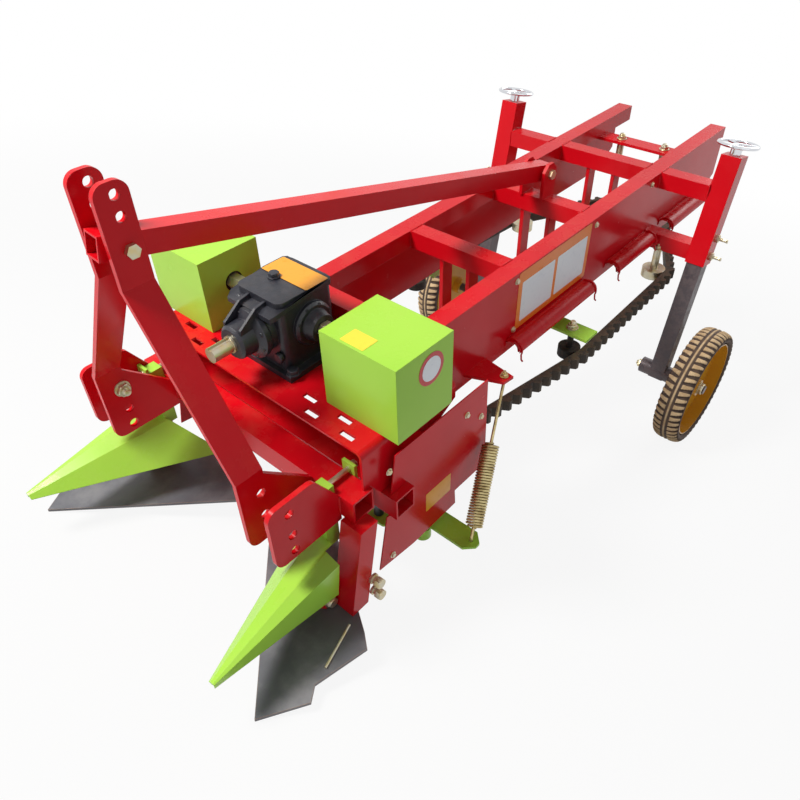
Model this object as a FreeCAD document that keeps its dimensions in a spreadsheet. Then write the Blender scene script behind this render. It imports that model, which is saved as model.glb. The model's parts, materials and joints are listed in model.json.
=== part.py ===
import FreeCAD, Part
import math
import os
import Sketcher

# A tractor-mounted peanut harvester: two digging shares under a hitch frame, two crop dividers,
# a bevel gearbox that drives a pair of toothed gripping chains, and a rail frame on two
# screw-adjusted wheel legs.
#
# Everything is drawn in the frame of the two rails: X to the machine's left, Y to the rear,
# Z square to the rails, with the origin on the top front edge of the front beam, midway between
# the rails. The stance() placement then tips the whole machine so that the tips of the shares
# and the two tyres stand on Z = 0, with the origin under the middle of the machine's plan.

doc = FreeCAD.newDocument("PeanutHarvester")
sheet = doc.addObject("Spreadsheet::Sheet", "Sizes")

SIZES = [
    ("sheet_title", 0, "driving dimensions, mm and degrees"),
    # rail frame
    ("frame_half", 200, "rail outer face from the machine's centre"),
    ("rail_tube", 50, "side of the square rails and cross tubes"),
    ("rail_wall", 4, "their wall"),
    ("rail_top", 187, "top of the rails"),
    ("rail_front", 286, "front end of the rails"),
    ("rail_rear", 1951, "rear end of the rails"),
    ("cross_first", 331, "first cross tube, its middle"),
    ("cross_pitch", 385.5, "spacing of the four cross tubes"),
    ("seat_gap", 0.3, "gap between pieces that lie against each other"),
    ("panel_thick", 3, "side panels"),
    ("panel_low", -38, "their lower edge"),
    ("panel_cut", 60, "height of the cut corner at their rear"),
    ("hood_round", 22, "round guard along a panel's lower edge"),
    ("hood_level", -14, "its open side"),
    # hitch frame
    ("hitch_offset", 87, "hitch centre, right of the machine's centre"),
    ("beam_tube", 60, "side of the two front beams"),
    ("beam_wall", 5, "their wall"),
    ("front_beam_half", 377, "half length of the front beam"),
    ("second_beam_half", 411, "half length of the second beam"),
    ("second_beam_front", 92, "front face of the second beam"),
    ("second_beam_top", -46, "its top"),
    ("deck_top", 104, "top of the folded deck"),
    ("deck_thick", 6, "its plate"),
    ("deck_half", 368, "half length of the deck"),
    ("deck_front", 42, "its front edge"),
    ("deck_rear", 345, "its rear edge"),
    ("fold_round", 16, "rounding of the deck's folds"),
    ("slot_length", 38, "slots in the deck"),
    ("slot_width", 14, "their width"),
    ("mast_thick", 12, "mast bars"),
    ("mast_width", 64, "their width, front to rear"),
    ("mast_front", -178, "their front edge"),
    ("mast_top", 645, "top of the masts"),
    ("mast_top_half", 39.5, "half spacing of the masts at the top"),
    ("mast_foot_half", 250, "half spacing of the masts at the foot"),
    ("mast_splay_top", 455, "where the masts start to spread"),
    ("mast_splay_foot", 115, "where they run straight again"),
    ("plate_low", -72, "lower edge of the hitch plates"),
    ("plate_high", 92, "upper edge of the outer plates"),
    ("plate_half", 332, "half spacing of the outer plates"),
    ("plate_round", 24, "their rounded corners"),
    ("link_pin", 22.4, "bore for a lower link pin"),
    ("link_first", 58, "upper lower-link bore"),
    ("link_second", -4, "middle bore"),
    ("link_third", -50, "lowest bore"),
    ("link_line", -128, "the bores, front to rear"),
    ("top_pin", 19.5, "bore for a top link pin"),
    ("top_pin_line", -141, "top link bores, front to rear"),
    ("top_pin_high", 622, "upper top link bore"),
    ("top_pin_low", 584, "lower top link bore"),
    ("strut_tube", 46, "side of the top strut"),
    ("strut_bolt", 16, "its two bolts"),
    ("strut_front_level", 524, "front bolt, height"),
    ("strut_nose", 44, "strut in front of the front bolt"),
    ("strut_tail", 30, "strut behind the rear bolt"),
    ("strut_rear_side", 15, "rear bolt, right of the machine's centre"),
    ("strut_rear_level", 255, "rear bolt, height"),
    ("ear_thick", 10, "ears of the rear bracket"),
    ("ear_width", 62, "their width"),
    ("ear_gap", 60, "room between them"),
    # drive
    ("shaft_level", 209, "input and cross shaft axes"),
    ("cross_shaft_line", 200, "cross shaft, front to rear"),
    ("input_shaft", 34.9, "input stub"),
    ("input_front", -21, "its front end"),
    ("input_length", 50, "its free length"),
    ("journal", 40, "input shaft inside the gearbox"),
    ("shaft_clear", 0.35, "running clearance of a shaft in its bore"),
    ("box_half", 72, "half width of the gearbox block"),
    ("box_front", 118, "front of the gearbox block"),
    ("box_rear", 272, "rear of it"),
    ("box_top", 292, "top of it"),
    ("foot_high", 14, "gearbox foot"),
    ("foot_half", 94, "half width of the foot"),
    ("nose_round", 60, "radius of the bearing housings"),
    ("boss_reach", 112, "side bearing housings, from the gearbox centre"),
    ("cross_round", 34, "round part of the cross shaft"),
    ("cross_flats", 36, "its hexagon, across flats"),
    ("cover_inner_half", 199.5, "drive cover, inner face from the hitch centre"),
    ("cover_outer_half", 404.6, "its outer face"),
    ("cover_front", 111.5, "its front"),
    ("cover_rear", 282.9, "its rear"),
    ("cover_top", 292, "its top"),
    ("cover_wall", 3, "its sheet"),
    ("drive_line_half", 247, "upright shafts from the hitch centre"),
    ("drive_block", 84, "bevel housing under each cover"),
    ("column_round", 30, "radius of the upright housing"),
    # gripping chains
    ("chain_level", -128, "middle of the chains"),
    ("chain_height", 32, "height of a chain's band"),
    ("chain_back", 7, "half thickness of the band"),
    ("chain_sink", 1.3, "wheels below the band's straight steps"),
    ("tooth_reach", 14, "teeth beyond the band"),
    ("tooth_pitch", 38, "spacing of the teeth"),
    ("grip_half", 25, "middle of an inner run from the centre"),
    ("front_wheel_radius", 40, "chain radius on the front sprockets"),
    ("rear_wheel_radius", 55, "chain radius on the rear sprockets"),
    ("rear_wheel_line", 1760, "rear sprockets, front to rear"),
    ("side_wheel_half", 258, "side rollers from the centre"),
    ("side_wheel_line", 1440, "side rollers, front to rear"),
    ("side_wheel_radius", 45, "chain radius on the side rollers"),
    ("idler_left", 272, "left idler from the machine's centre"),
    ("idler_right", 302, "right idler from the machine's centre"),
    ("idler_line", 890, "idlers, front to rear"),
    ("idler_radius", 40, "chain radius on the idlers"),
    ("guide_front", 600, "front of the inner guides"),
    ("guide_nose", 60, "radius of their front shoe"),
    ("guide_rear", 1600, "rear of the inner guides"),
    ("axle_round", 9, "radius of the sprocket axles"),
    ("bracket_level", -60, "underside of the idler brackets' shelf"),
    ("lower_level", -45, "underside of the lower leg brackets"),
    ("lower_front", 1433, "their front"),
    ("rear_bar_depth", 60, "bearing bar of the rear sprockets, front to rear"),
    ("rear_bar_thick", 10, "its thickness"),
    # wheels and legs
    ("leg_half", 385, "wheel legs from the centre"),
    ("leg_lean", 11, "their lean against the rails' normal"),
    ("leg_top", 264, "top of the sleeves"),
    ("leg_line", 1515, "sleeve tops, front to rear"),
    ("sleeve_tube", 60, "side of the sleeves"),
    ("sleeve_wall", 4, "their wall"),
    ("sleeve_length", 325, "their length"),
    ("slide_clear", 1, "clearance of the inner tube in the sleeve"),
    ("tube_wall", 4, "wall of the inner tube"),
    ("tube_head", 45, "head of the inner tube below the sleeve's top"),
    ("axle_drop", 724, "wheel axle below the sleeve's top"),
    ("axle_radius", 15, "wheel axle"),
    ("axle_boss", 27, "radius of its boss"),
    ("axle_inner", 64, "boss, from the leg's middle inward"),
    ("wheel_middle", 122, "middle of the tyre from the leg's middle"),
    ("tyre_radius", 202, "tyre"),
    ("tyre_width", 88, "its width"),
    ("rim_radius", 165, "rim seat"),
    ("rim_wall", 4, "rim sheet"),
    ("hub_radius", 28, "wheel hub"),
    ("screw_radius", 10, "height screw"),
    ("handwheel_radius", 60, "handwheel"),
    ("handwheel_rod", 5, "radius of its ring"),
    ("handwheel_rise", 36, "ring above the sleeve"),
    # shares and dividers
    ("share_level", -305, "top of the shares"),
    ("share_thick", 8, "their plate"),
    ("share_tip_half", 420, "tips from the hitch centre"),
    ("share_tip_line", -355, "tips, front to rear"),
    ("share_flare", 65, "widest corner outside the tips"),
    ("shank_half", 377, "shanks from the hitch centre"),
    ("shank_width", 60, "shanks, across"),
    ("shank_depth", 50, "shanks, front to rear"),
    ("shank_wall", 6, "their wall"),
    ("ear_plate", 6, "ears at the feet of the shanks"),
    ("ear_line", -70, "their bolt holes, front to rear"),
    ("ear_level", -288, "height of those holes"),
    ("ear_bolt", 16, "the holes"),
    ("divider_tip_half", 371, "divider tips from the hitch centre"),
    ("divider_tip_line", -388, "divider tips, front to rear"),
    ("divider_tip_level", -183, "their height"),
    ("divider_rear", 45, "rearmost corner of a divider's sheet"),
    ("divider_end", -62, "end of its ridge, in front of the shank"),
    ("divider_outer", 370, "arch of the sheet at its rear: outer edge"),
    ("divider_low", -271, "height of that edge"),
    ("divider_ridge", 391, "its ridge"),
    ("divider_ridge_level", -112, "height of the ridge"),
    ("divider_crown", 342, "its crown"),
    ("divider_crown_level", -97, "height of the crown"),
    ("divider_bend", 262, "its inner bend"),
    ("divider_bend_level", -122, "height of the bend"),
    ("divider_inner", 163, "its inner edge"),
    ("divider_inner_level", -230, "height of that edge"),
    ("divider_sheet", 4, "its sheet"),
    ("bar_foot", -150, "foot of its upright bar"),
    ("clamp_half", 306, "divider clamps from the hitch centre"),
    ("clamp_width", 37, "clamp plates, across"),
    ("clamp_plate", 8, "their plate"),
    ("clamp_bar", 36, "upright bar of a divider"),
    ("clamp_bolt", 12, "clamp bolts"),
    ("clamp_reach", 42, "bolts above and below the beam's middle"),
    # shields, spring, arm
    ("shield_half", 387, "side shields from the hitch centre"),
    ("shield_thick", 3, "their sheet"),
    ("arm_level", -304, "top of the tension arm"),
    ("arm_thick", 8, "its bar"),
    ("arm_width", 62, "its width"),
    ("arm_tip", 414, "its tip from the machine's centre"),
    ("arm_line", 281, "its outer part, front to rear"),
    ("spring_radius", 22.5, "coil spring"),
    ("spring_length", 214, "its coils"),
    ("hook_radius", 4, "spring hooks and eye bolt"),
    ("hook_side", 283, "upper end of the eye bolt from the centre"),
    ("hook_line", 540, "the same, front to rear"),
    ("hook_level", -10, "its height"),
]


class Size:
    """A length with its number and the sheet expression behind it."""

    def __init__(self, number, text):
        self.number = float(number)
        self.text = text

    def joined(self, other, sign, number):
        return Size(number, "(%s %s %s)" % (self.text, sign, as_size(other).text))

    def __add__(self, other):
        return self.joined(other, "+", self.number + as_size(other).number)

    def __sub__(self, other):
        return self.joined(other, "-", self.number - as_size(other).number)

    def __mul__(self, other):
        return self.joined(other, "*", self.number * as_size(other).number)

    def __truediv__(self, other):
        return self.joined(other, "/", self.number / as_size(other).number)

    def __radd__(self, other):
        return as_size(other) + self

    def __rsub__(self, other):
        return as_size(other) - self

    def __rmul__(self, other):
        return as_size(other) * self

    def __neg__(self):
        return Size(-self.number, "(0 - %s)" % self.text)


def as_size(value):
    """A Size as it is, a plain number as a Size."""
    if isinstance(value, Size):
        return value
    return Size(value, "(%s)" % repr(float(value)))


class Named:
    """Every sheet cell as an attribute: at.rail_top is the Size of that cell."""


at = Named()
for row, (alias, number, note) in enumerate(SIZES, start=1):
    sheet.set("A%d" % row, note)
    sheet.set("B%d" % row, repr(number))
    sheet.setAlias("B%d" % row, alias)
    setattr(at, alias, Size(number, "Sizes.%s" % alias))
doc.recompute()

SIDES = (("left", 1), ("right", -1))
hitch = -at.hitch_offset
rail_low = at.rail_top - at.rail_tube
cross_lines = [at.cross_first + i * at.cross_pitch for i in range(4)]


def contact_tilt():
    """Angle between the rails and the ground that the share tips and the tyres stand on."""
    lean = math.radians(at.leg_lean.number)
    hub_line = at.leg_line.number - at.axle_drop.number * math.sin(lean)
    hub_level = at.leg_top.number - at.axle_drop.number * math.cos(lean)
    along = hub_line - at.share_tip_line.number
    drop = at.share_level.number - at.share_thick.number - hub_level
    reach = math.hypot(along, drop)
    return math.degrees(math.asin(at.tyre_radius.number / reach) + math.atan2(drop, along))


def stance():
    """Placement that stands the machine on its share tips and tyres, over the middle of its plan."""
    tilt = contact_tilt()
    turn = FreeCAD.Rotation(FreeCAD.Vector(1, 0, 0), tilt)
    tip = FreeCAD.Vector(0, at.share_tip_line.number, at.share_level.number - at.share_thick.number)
    nose = FreeCAD.Vector(0, at.divider_tip_line.number, at.divider_tip_level.number)
    rear = FreeCAD.Vector(0, at.rail_rear.number, (at.panel_low + at.panel_cut).number)
    left = (at.leg_half + at.wheel_middle + at.tyre_width / 2).number
    right = (at.hitch_offset + at.share_tip_half + at.share_flare).number
    shift = FreeCAD.Vector((right - left) / 2, -(turn.multVec(nose).y + turn.multVec(rear).y) / 2,
                           -turn.multVec(tip).z)
    return FreeCAD.Placement(shift, turn)


def leg_frame(sign):
    """Placement of a wheel leg's own frame: origin at the sleeve's top, Z along the leg."""
    place = FreeCAD.Vector(sign * at.leg_half.number, at.leg_line.number, at.leg_top.number)
    return FreeCAD.Placement(place, FreeCAD.Rotation(FreeCAD.Vector(1, 0, 0), -at.leg_lean.number))


NODES = {}


def keep(name, thing, own=None):
    """Names a finished sub-part and puts it in the machine's stance."""
    thing.Label = name
    thing.Placement = stance().multiply(own) if own else stance()
    NODES[name] = thing
    return thing


# PartDesign helpers ------------------------------------------------------------------------

PLANES = {"top": ("XY_Plane", 1), "front": ("XZ_Plane", -1), "side": ("YZ_Plane", 1)}


def origin_part(body, role):
    """An origin plane or axis of a body."""
    return [part for part in body.Origin.OriginFeatures if part.Role == role][0]


def bind(thing, path, size):
    """Sets a property from a Size, bound to the sheet."""
    thing.setExpression(path, as_size(size).text)


def pin_point(sketch, geometry, corner, point):
    """Fixes a point of a sketch by its two coordinates."""
    for kind, size in (("DistanceX", point[0]), ("DistanceY", point[1])):
        size = as_size(size)
        index = sketch.addConstraint(Sketcher.Constraint(kind, -1, 1, geometry, corner, size.number))
        bind(sketch, "Constraints[%d]" % index, size)


def draw_outline(sketch, points):
    """A closed outline of straight edges through fixed points."""
    first = sketch.GeometryCount
    spots = [FreeCAD.Vector(as_size(p[0]).number, as_size(p[1]).number, 0) for p in points]
    count = len(points)
    for i in range(count):
        sketch.addGeometry(Part.LineSegment(spots[i], spots[(i + 1) % count]), False)
    for i in range(count):
        sketch.addConstraint(Sketcher.Constraint("Coincident", first + i, 2, first + (i + 1) % count, 1))
        pin_point(sketch, first + i, 1, points[i])


def draw_circle(sketch, centre, radius):
    """A circle with a fixed centre and radius."""
    spot = FreeCAD.Vector(as_size(centre[0]).number, as_size(centre[1]).number, 0)
    ring = Part.Circle(spot, FreeCAD.Vector(0, 0, 1), as_size(radius).number)
    index = sketch.addGeometry(ring, False)
    pin_point(sketch, index, 3, centre)
    size = sketch.addConstraint(Sketcher.Constraint("Radius", index, as_size(radius).number))
    bind(sketch, "Constraints[%d]" % size, radius)


def box_points(low, high):
    """Corners of an upright rectangle."""
    return [(low[0], low[1]), (high[0], low[1]), (high[0], high[1]), (low[0], high[1])]


class Piece:
    """A PartDesign body built from pads and pockets between two places on an axis."""

    def __init__(self, name):
        self.name = name
        self.body = doc.addObject("PartDesign::Body", name)

    def sketch(self, plane, level, outlines=(), circles=()):
        role, facing = PLANES[plane]
        sketch = self.body.newObject("Sketcher::SketchObject", self.name + "_sketch")
        sketch.AttachmentSupport = [(origin_part(self.body, role), "")]
        sketch.MapMode = "FlatFace"
        bind(sketch, "AttachmentOffset.Base.z", facing * as_size(level))
        for points in outlines:
            draw_outline(sketch, points)
        for centre, radius in circles:
            draw_circle(sketch, centre, radius)
        return sketch

    def pad(self, plane, low, high, outlines=(), circles=()):
        pad = self.body.newObject("PartDesign::Pad", self.name + "_pad")
        pad.Profile = self.sketch(plane, low, outlines, circles)
        pad.Reversed = PLANES[plane][1] < 0
        bind(pad, "Length", as_size(high) - low)
        return self

    def cut(self, plane, low, high, outlines=(), circles=()):
        doc.recompute()
        before = self.body.Shape.Volume
        pocket = self.body.newObject("PartDesign::Pocket", self.name + "_pocket")
        pocket.Profile = self.sketch(plane, low, outlines, circles)
        pocket.Reversed = PLANES[plane][1] > 0
        bind(pocket, "Length", as_size(high) - low)
        doc.recompute()
        assert self.body.Shape.Volume < before, "a pocket of %s cuts nothing" % self.name
        return self

    def turn(self, plane, points, axis, level=0):
        """A revolution of an outline about an axis line in its sketch plane."""
        turned = self.body.newObject("PartDesign::Revolution", self.name + "_turn")
        sketch = self.sketch(plane, level, [points])
        turned.Profile = sketch
        start, end = axis
        line = Part.LineSegment(FreeCAD.Vector(as_size(start[0]).number, as_size(start[1]).number, 0),
                                FreeCAD.Vector(as_size(end[0]).number, as_size(end[1]).number, 0))
        index = sketch.addGeometry(line, True)
        pin_point(sketch, index, 1, start)
        pin_point(sketch, index, 2, end)
        turned.ReferenceAxis = (sketch, ["Axis0"])
        turned.Angle = 360
        return self

    def loft(self, plane, sections):
        """A straight loft through outlines at several levels."""
        sketches = [self.sketch(plane, level, [points]) for level, points in sections]
        loft = self.body.newObject("PartDesign::AdditiveLoft", self.name + "_loft")
        loft.Profile = sketches[0]
        loft.Sections = sketches[1:]
        loft.Ruled = True
        return self

    def round_off(self, radius, wanted):
        """Fillets the edges of the present shape that a test picks."""
        doc.recompute()
        solid = self.body.Tip
        names = ["Edge%d" % (i + 1) for i, edge in enumerate(solid.Shape.Edges) if wanted(edge)]
        fillet = self.body.newObject("PartDesign::Fillet", self.name + "_fillet")
        fillet.Base = (solid, names)
        bind(fillet, "Radius", radius)
        return self

    def keep(self, own=None):
        return keep(self.name, self.body, own)


def along(edge, axis):
    """True for a straight edge that runs along X, Y or Z."""
    if not isinstance(edge.Curve, Part.Line):
        return False
    direction = edge.Curve.Direction
    return abs(abs((direction.x, direction.y, direction.z)["XYZ".index(axis)]) - 1) < 1e-6


def square_tube(name, plane, low, high, corner, side, wall, own=None):
    """A square tube along an axis; corner is the lower corner of its section."""
    far = (corner[0] + side, corner[1] + side)
    inner = ((corner[0] + wall, corner[1] + wall), (far[0] - wall, far[1] - wall))
    piece = Piece(name).pad(plane, low, high, [box_points(corner, far), box_points(*inner)])
    return piece


def span(sign, near, far, centre=0):
    """Two places at one side of a centre plane, in rising order."""
    if sign > 0:
        return centre + near, centre + far
    return centre - far, centre - near


# Rail frame --------------------------------------------------------------------------------

def make_rails():
    """Two rails on short feet that stand on the deck."""
    for side, sign in SIDES:
        low, high = span(sign, at.frame_half - at.rail_tube, at.frame_half)
        rail = square_tube(side + "_rail", "front", at.rail_front, at.rail_rear, (low, rail_low),
                           at.rail_tube, at.rail_wall)
        rail.pad("top", at.deck_top, rail_low, [box_points((low, at.rail_front), (high, at.deck_rear))])
        rail.keep()


def make_cross_tubes():
    """Four tubes between the rails; the third carries the strut's ears."""
    reach = at.frame_half - at.rail_tube
    for number, line in enumerate(cross_lines, start=1):
        tube = square_tube("cross_tube_%d" % number, "side", -reach, reach,
                           (line - at.rail_tube / 2, rail_low), at.rail_tube, at.rail_wall)
        if number == 3:
            add_strut_ears(tube, line)
        tube.keep()


def add_strut_ears(tube, line):
    """Two upright ears on the top of a cross tube, bored for the strut's rear bolt."""
    middle = -at.strut_rear_side
    top = at.strut_rear_level + at.ear_width / 2
    half = at.ear_width / 2
    for sign in (-1, 1):
        low, high = span(sign, at.ear_gap / 2, at.ear_gap / 2 + at.ear_thick, middle)
        ear = [(line - half, at.rail_top - 2), (line + half, at.rail_top - 2), (line + half, top - 20),
               (line + half - 20, top), (line - half + 20, top), (line - half, top - 20)]
        tube.pad("side", low, high, [ear], [((line, at.strut_rear_level), at.strut_bolt / 2)])


def make_side_panels():
    """Sheet panels on the rails' outer faces, with round guards along the lower edge."""
    guards = [(657, 1048), (1174, 1428), (1532, 1849)]
    for side, sign in SIDES:
        low, high = span(sign, at.frame_half, at.frame_half + at.panel_thick)
        panel = Piece(side + "_side_panel")
        step = at.deck_top + at.seat_gap
        panel.pad("side", low, high, [[(at.rail_front, at.rail_top), (at.rail_front, step),
                                       (at.deck_rear + at.seat_gap, step),
                                       (at.deck_rear + at.seat_gap, at.panel_low),
                                       (at.rail_rear - 90, at.panel_low),
                                       (at.rail_rear, at.panel_low + at.panel_cut),
                                       (at.rail_rear, at.rail_top)]])
        near, far = at.frame_half + at.panel_thick, at.frame_half + at.panel_thick + 2 * at.hood_round
        level, wall = at.hood_level, at.panel_thick
        crown = level + at.hood_round
        steps = [(near, level), (near, crown - 4), (near + 6, crown), (far - 13, crown), (far - 4, crown - 9),
                 (far, level), (far - wall, level), (far - 6, crown - 10), (far - 14, crown - wall),
                 (near + 7, crown - wall), (near + wall, crown - 5), (near + wall, level)]
        outline = [(sign * x, z) for x, z in steps]
        for front, rear in guards:
            panel.pad("front", front, rear, [outline])
        if sign > 0:
            add_hook_plate(panel, near)
        panel.keep()


def add_hook_plate(panel, near):
    """The plate that the tension spring's eye bolt hangs from."""
    line = at.hook_line
    panel.pad("top", at.hook_level, at.hook_level + 8,
              [[(near - 1, line - 60), (at.hook_side + 14, line - 20), (at.hook_side + 18, line + 14),
                (near - 1, line + 30)]], [((at.hook_side, line), at.hook_radius + 0.6)])


# Hitch frame -------------------------------------------------------------------------------

def make_beams():
    """The two square beams across the front."""
    for name, half, front, top in (
            ("front_beam", at.front_beam_half, as_size(0), as_size(0)),
            ("second_beam", at.second_beam_half, at.second_beam_front, at.second_beam_top)):
        tube = square_tube(name, "side", hitch - half, hitch + half, (front, top - at.beam_tube),
                           at.beam_tube, at.beam_wall)
        tube.keep()


def make_deck():
    """A plate folded down at both ends that stands on the two beams, with slots along its front."""
    low, high = hitch - at.deck_half, hitch + at.deck_half
    thick = at.deck_thick
    second_rear = at.second_beam_front + at.beam_tube
    foot = at.second_beam_top
    deck = Piece("deck_plate")
    deck.pad("front", at.deck_front, at.deck_rear,
             [[(low, foot), (low + thick, foot), (low + thick, at.deck_top - thick),
               (high - thick, at.deck_top - thick), (high - thick, foot), (high, foot),
               (high, at.deck_top), (low, at.deck_top)]])
    deck.cut("side", low - 1, high + 1,
             [[(at.deck_front - 1, foot - 1), (at.second_beam_front, foot - 1), (at.second_beam_front, foot),
               (at.beam_tube, 0), (at.deck_front - 1, 0)]])
    deck.cut("side", low - 1, high + 1,
             [[(second_rear, foot), (second_rear, foot - 1), (at.deck_rear + 1, foot - 1),
               (at.deck_rear + 1, at.deck_top - 45)]])
    inside = at.deck_top.number - thick.number
    deck.round_off(at.fold_round - thick, lambda edge: along(edge, "Y")
                   and abs(edge.BoundBox.ZMax - inside) < 0.5)
    deck.round_off(at.fold_round, lambda edge: along(edge, "Y")
                   and edge.BoundBox.ZMax > at.deck_top.number - 1)
    for sign in (-1, 1):
        for x, y in ((at.deck_half - 62, 66), (at.deck_half - 100, 98), (at.deck_half - 168, 66),
                     (at.deck_half - 206, 98)):
            middle = hitch + sign * x
            deck.cut("top", at.deck_top - thick - 1, at.deck_top + 1,
                     [box_points((middle - at.slot_length / 2, y - at.slot_width / 2),
                                 (middle + at.slot_length / 2, y + at.slot_width / 2))])
    for sign in (-1, 1):
        deck.cut("top", at.deck_top - thick - 1, at.deck_top + 1,
                 circles=[((hitch + sign * at.drive_line_half, at.cross_shaft_line), at.column_round + 1)])
    deck.keep()


def make_masts():
    """Flat bars from the lower link bores up to the top link bores, spread at the foot."""
    half = at.mast_thick / 2
    rear = at.mast_front + at.mast_width
    for side, sign in SIDES:
        mast = Piece(side + "_mast")
        inner = [(at.mast_foot_half - half, at.plate_low), (at.mast_foot_half - half, at.mast_splay_foot),
                 (at.mast_top_half - half, at.mast_splay_top), (at.mast_top_half - half, at.mast_top)]
        outer = [(at.mast_top_half + half, at.mast_top), (at.mast_top_half + half, at.mast_splay_top + 3),
                 (at.mast_foot_half + half, at.mast_splay_foot + 3), (at.mast_foot_half + half, at.plate_low)]
        mast.pad("front", at.mast_front, rear, [[(hitch + sign * x, z) for x, z in inner + outer]])
        low, high = span(sign, at.mast_foot_half - half, at.mast_foot_half + half, hitch)
        mast.pad("side", low, high, [[(rear - 1, at.plate_low), (0, at.plate_low), (0, 0),
                                      (rear - 1, at.mast_splay_foot - 10)]])
        bores = [((at.link_line, z), at.link_pin / 2) for z in (at.link_first, at.link_second, at.link_third)]
        mast.cut("side", low - 1, high + 1, circles=bores)
        low, high = span(sign, at.mast_top_half - half, at.mast_top_half + half, hitch)
        bores = [((at.top_pin_line, z), at.top_pin / 2) for z in (at.top_pin_high, at.top_pin_low)]
        bores.append(((at.top_pin_line, at.strut_front_level), at.strut_bolt / 2))
        mast.cut("side", low - 1, high + 1, circles=bores)
        mast.round_off(at.plate_round, lambda edge: along(edge, "X")
                       and (edge.BoundBox.ZMin > at.mast_top.number - 1
                            or (edge.BoundBox.ZMax < at.plate_low.number + 1
                                and edge.BoundBox.YMax < at.mast_front.number + 1)))
        mast.keep()


def make_hitch_plates():
    """Outer cheeks of the lower link clevises, on the front face of the front beam."""
    half = at.mast_thick / 2
    for side, sign in SIDES:
        low, high = span(sign, at.plate_half - half, at.plate_half + half, hitch)
        plate = Piece(side + "_hitch_plate")
        outline = [(at.mast_front, at.plate_low), (0, at.plate_low), (0, 0), (-60, at.plate_high),
                   (at.mast_front, at.plate_high)]
        bores = [((at.link_line, z), at.link_pin / 2) for z in (at.link_first, at.link_second, at.link_third)]
        plate.pad("side", low, high, [outline], bores)
        plate.round_off(at.plate_round, lambda edge: along(edge, "X") and edge.BoundBox.YMax < -1)
        plate.keep()


def strut_ends():
    """The middles of the strut's two bolts."""
    front = FreeCAD.Vector(hitch.number, at.top_pin_line.number, at.strut_front_level.number)
    rear = FreeCAD.Vector(-at.strut_rear_side.number, cross_lines[2].number, at.strut_rear_level.number)
    return front, rear


def make_top_strut():
    """The long tube from between the masts back to the third cross tube."""
    front, rear = strut_ends()
    run = rear - front
    half = at.strut_tube / 2
    strut = square_tube("top_strut", "side", -at.strut_nose, run.Length + at.strut_tail, (-half, -half),
                        at.strut_tube, at.rail_wall)
    turn = FreeCAD.Rotation(FreeCAD.Vector(1, 0, 0), run)
    level = turn.multVec(FreeCAD.Vector(0, 1, 0))
    roll = -math.degrees(math.asin(level.z))
    turn = turn.multiply(FreeCAD.Rotation(FreeCAD.Vector(1, 0, 0), roll))
    for place in (0, run.Length):
        strut.cut("front", -half - 1, half + 1, circles=[((place, 0), at.strut_bolt / 2 + 1.5)])
    strut.keep(FreeCAD.Placement(front, turn))


def make_strut_bolts():
    """The two bolts that hold the top strut between the masts and between the ears."""
    front, rear = strut_ends()
    lots = (("strut_front_bolt", hitch, at.top_pin_line, at.strut_front_level,
             at.mast_top_half + at.mast_thick / 2),
            ("strut_rear_bolt", -at.strut_rear_side, cross_lines[2], at.strut_rear_level,
             at.ear_gap / 2 + at.ear_thick))
    for name, middle, line, level, grip in lots:
        bolt = Piece(name)
        radius = at.strut_bolt / 2 - at.seat_gap
        bolt.pad("side", middle - grip - 16, middle + grip + 10, circles=[((line, level), radius)])
        bolt.pad("side", middle - grip - 12, middle - grip - at.seat_gap, [hexagon(as_size(24), line, level)])
        bolt.pad("side", middle + grip + at.seat_gap, middle + grip + 10, [hexagon(as_size(24), line, level)])
        bolt.keep()


# Drive -------------------------------------------------------------------------------------

def make_gearbox():
    """A cast bevel gearbox: foot, block, front and rear bearing housings and two side ones."""
    box = Piece("gearbox")
    foot_top = at.deck_top + at.foot_high
    box.pad("top", at.deck_top, foot_top,
            [box_points((hitch - at.foot_half, at.box_front - 14), (hitch + at.foot_half, at.box_rear + 8))])
    box.pad("top", foot_top, at.box_top,
            [box_points((hitch - at.box_half, at.box_front), (hitch + at.box_half, at.box_rear))])
    box.round_off(18, lambda edge: along(edge, "Z") and edge.BoundBox.ZMax > at.box_top.number - 1)
    level, line = at.shaft_level, at.cross_shaft_line
    nose = at.nose_round
    box.turn("side", [(34, level), (34, level + 34), (40, level + 40), (74, level + 42), (84, level + nose),
                      (96, level + nose), (102, level + nose - 6), (at.box_rear - 10, level + nose - 6),
                      (at.box_rear + 8, level + nose - 6), (at.box_rear + 14, level + nose - 16),
                      (at.box_rear + 14, level)], ((0, level), (100, level)), hitch)
    for sign in (-1, 1):
        outline = [(hitch, level), (hitch, level + nose - 8), (hitch + sign * (at.box_half + 8), level + nose - 8),
                   (hitch + sign * (at.box_half + 14), level + nose - 14),
                   (hitch + sign * (at.box_half + 14), level + 38),
                   (hitch + sign * at.boss_reach, level + 32), (hitch + sign * at.boss_reach, level)]
        box.turn("front", outline, ((-300, level), (300, level)), line)
    inner = line - at.cross_round / 2 - 6
    box.cut("front", 30, inner, circles=[((hitch, level), at.journal / 2 + at.shaft_clear)])
    box.cut("side", hitch - at.boss_reach - 1, hitch + at.boss_reach + 1,
            circles=[((line, level), at.cross_round / 2 + at.shaft_clear)])
    box.keep()


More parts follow.
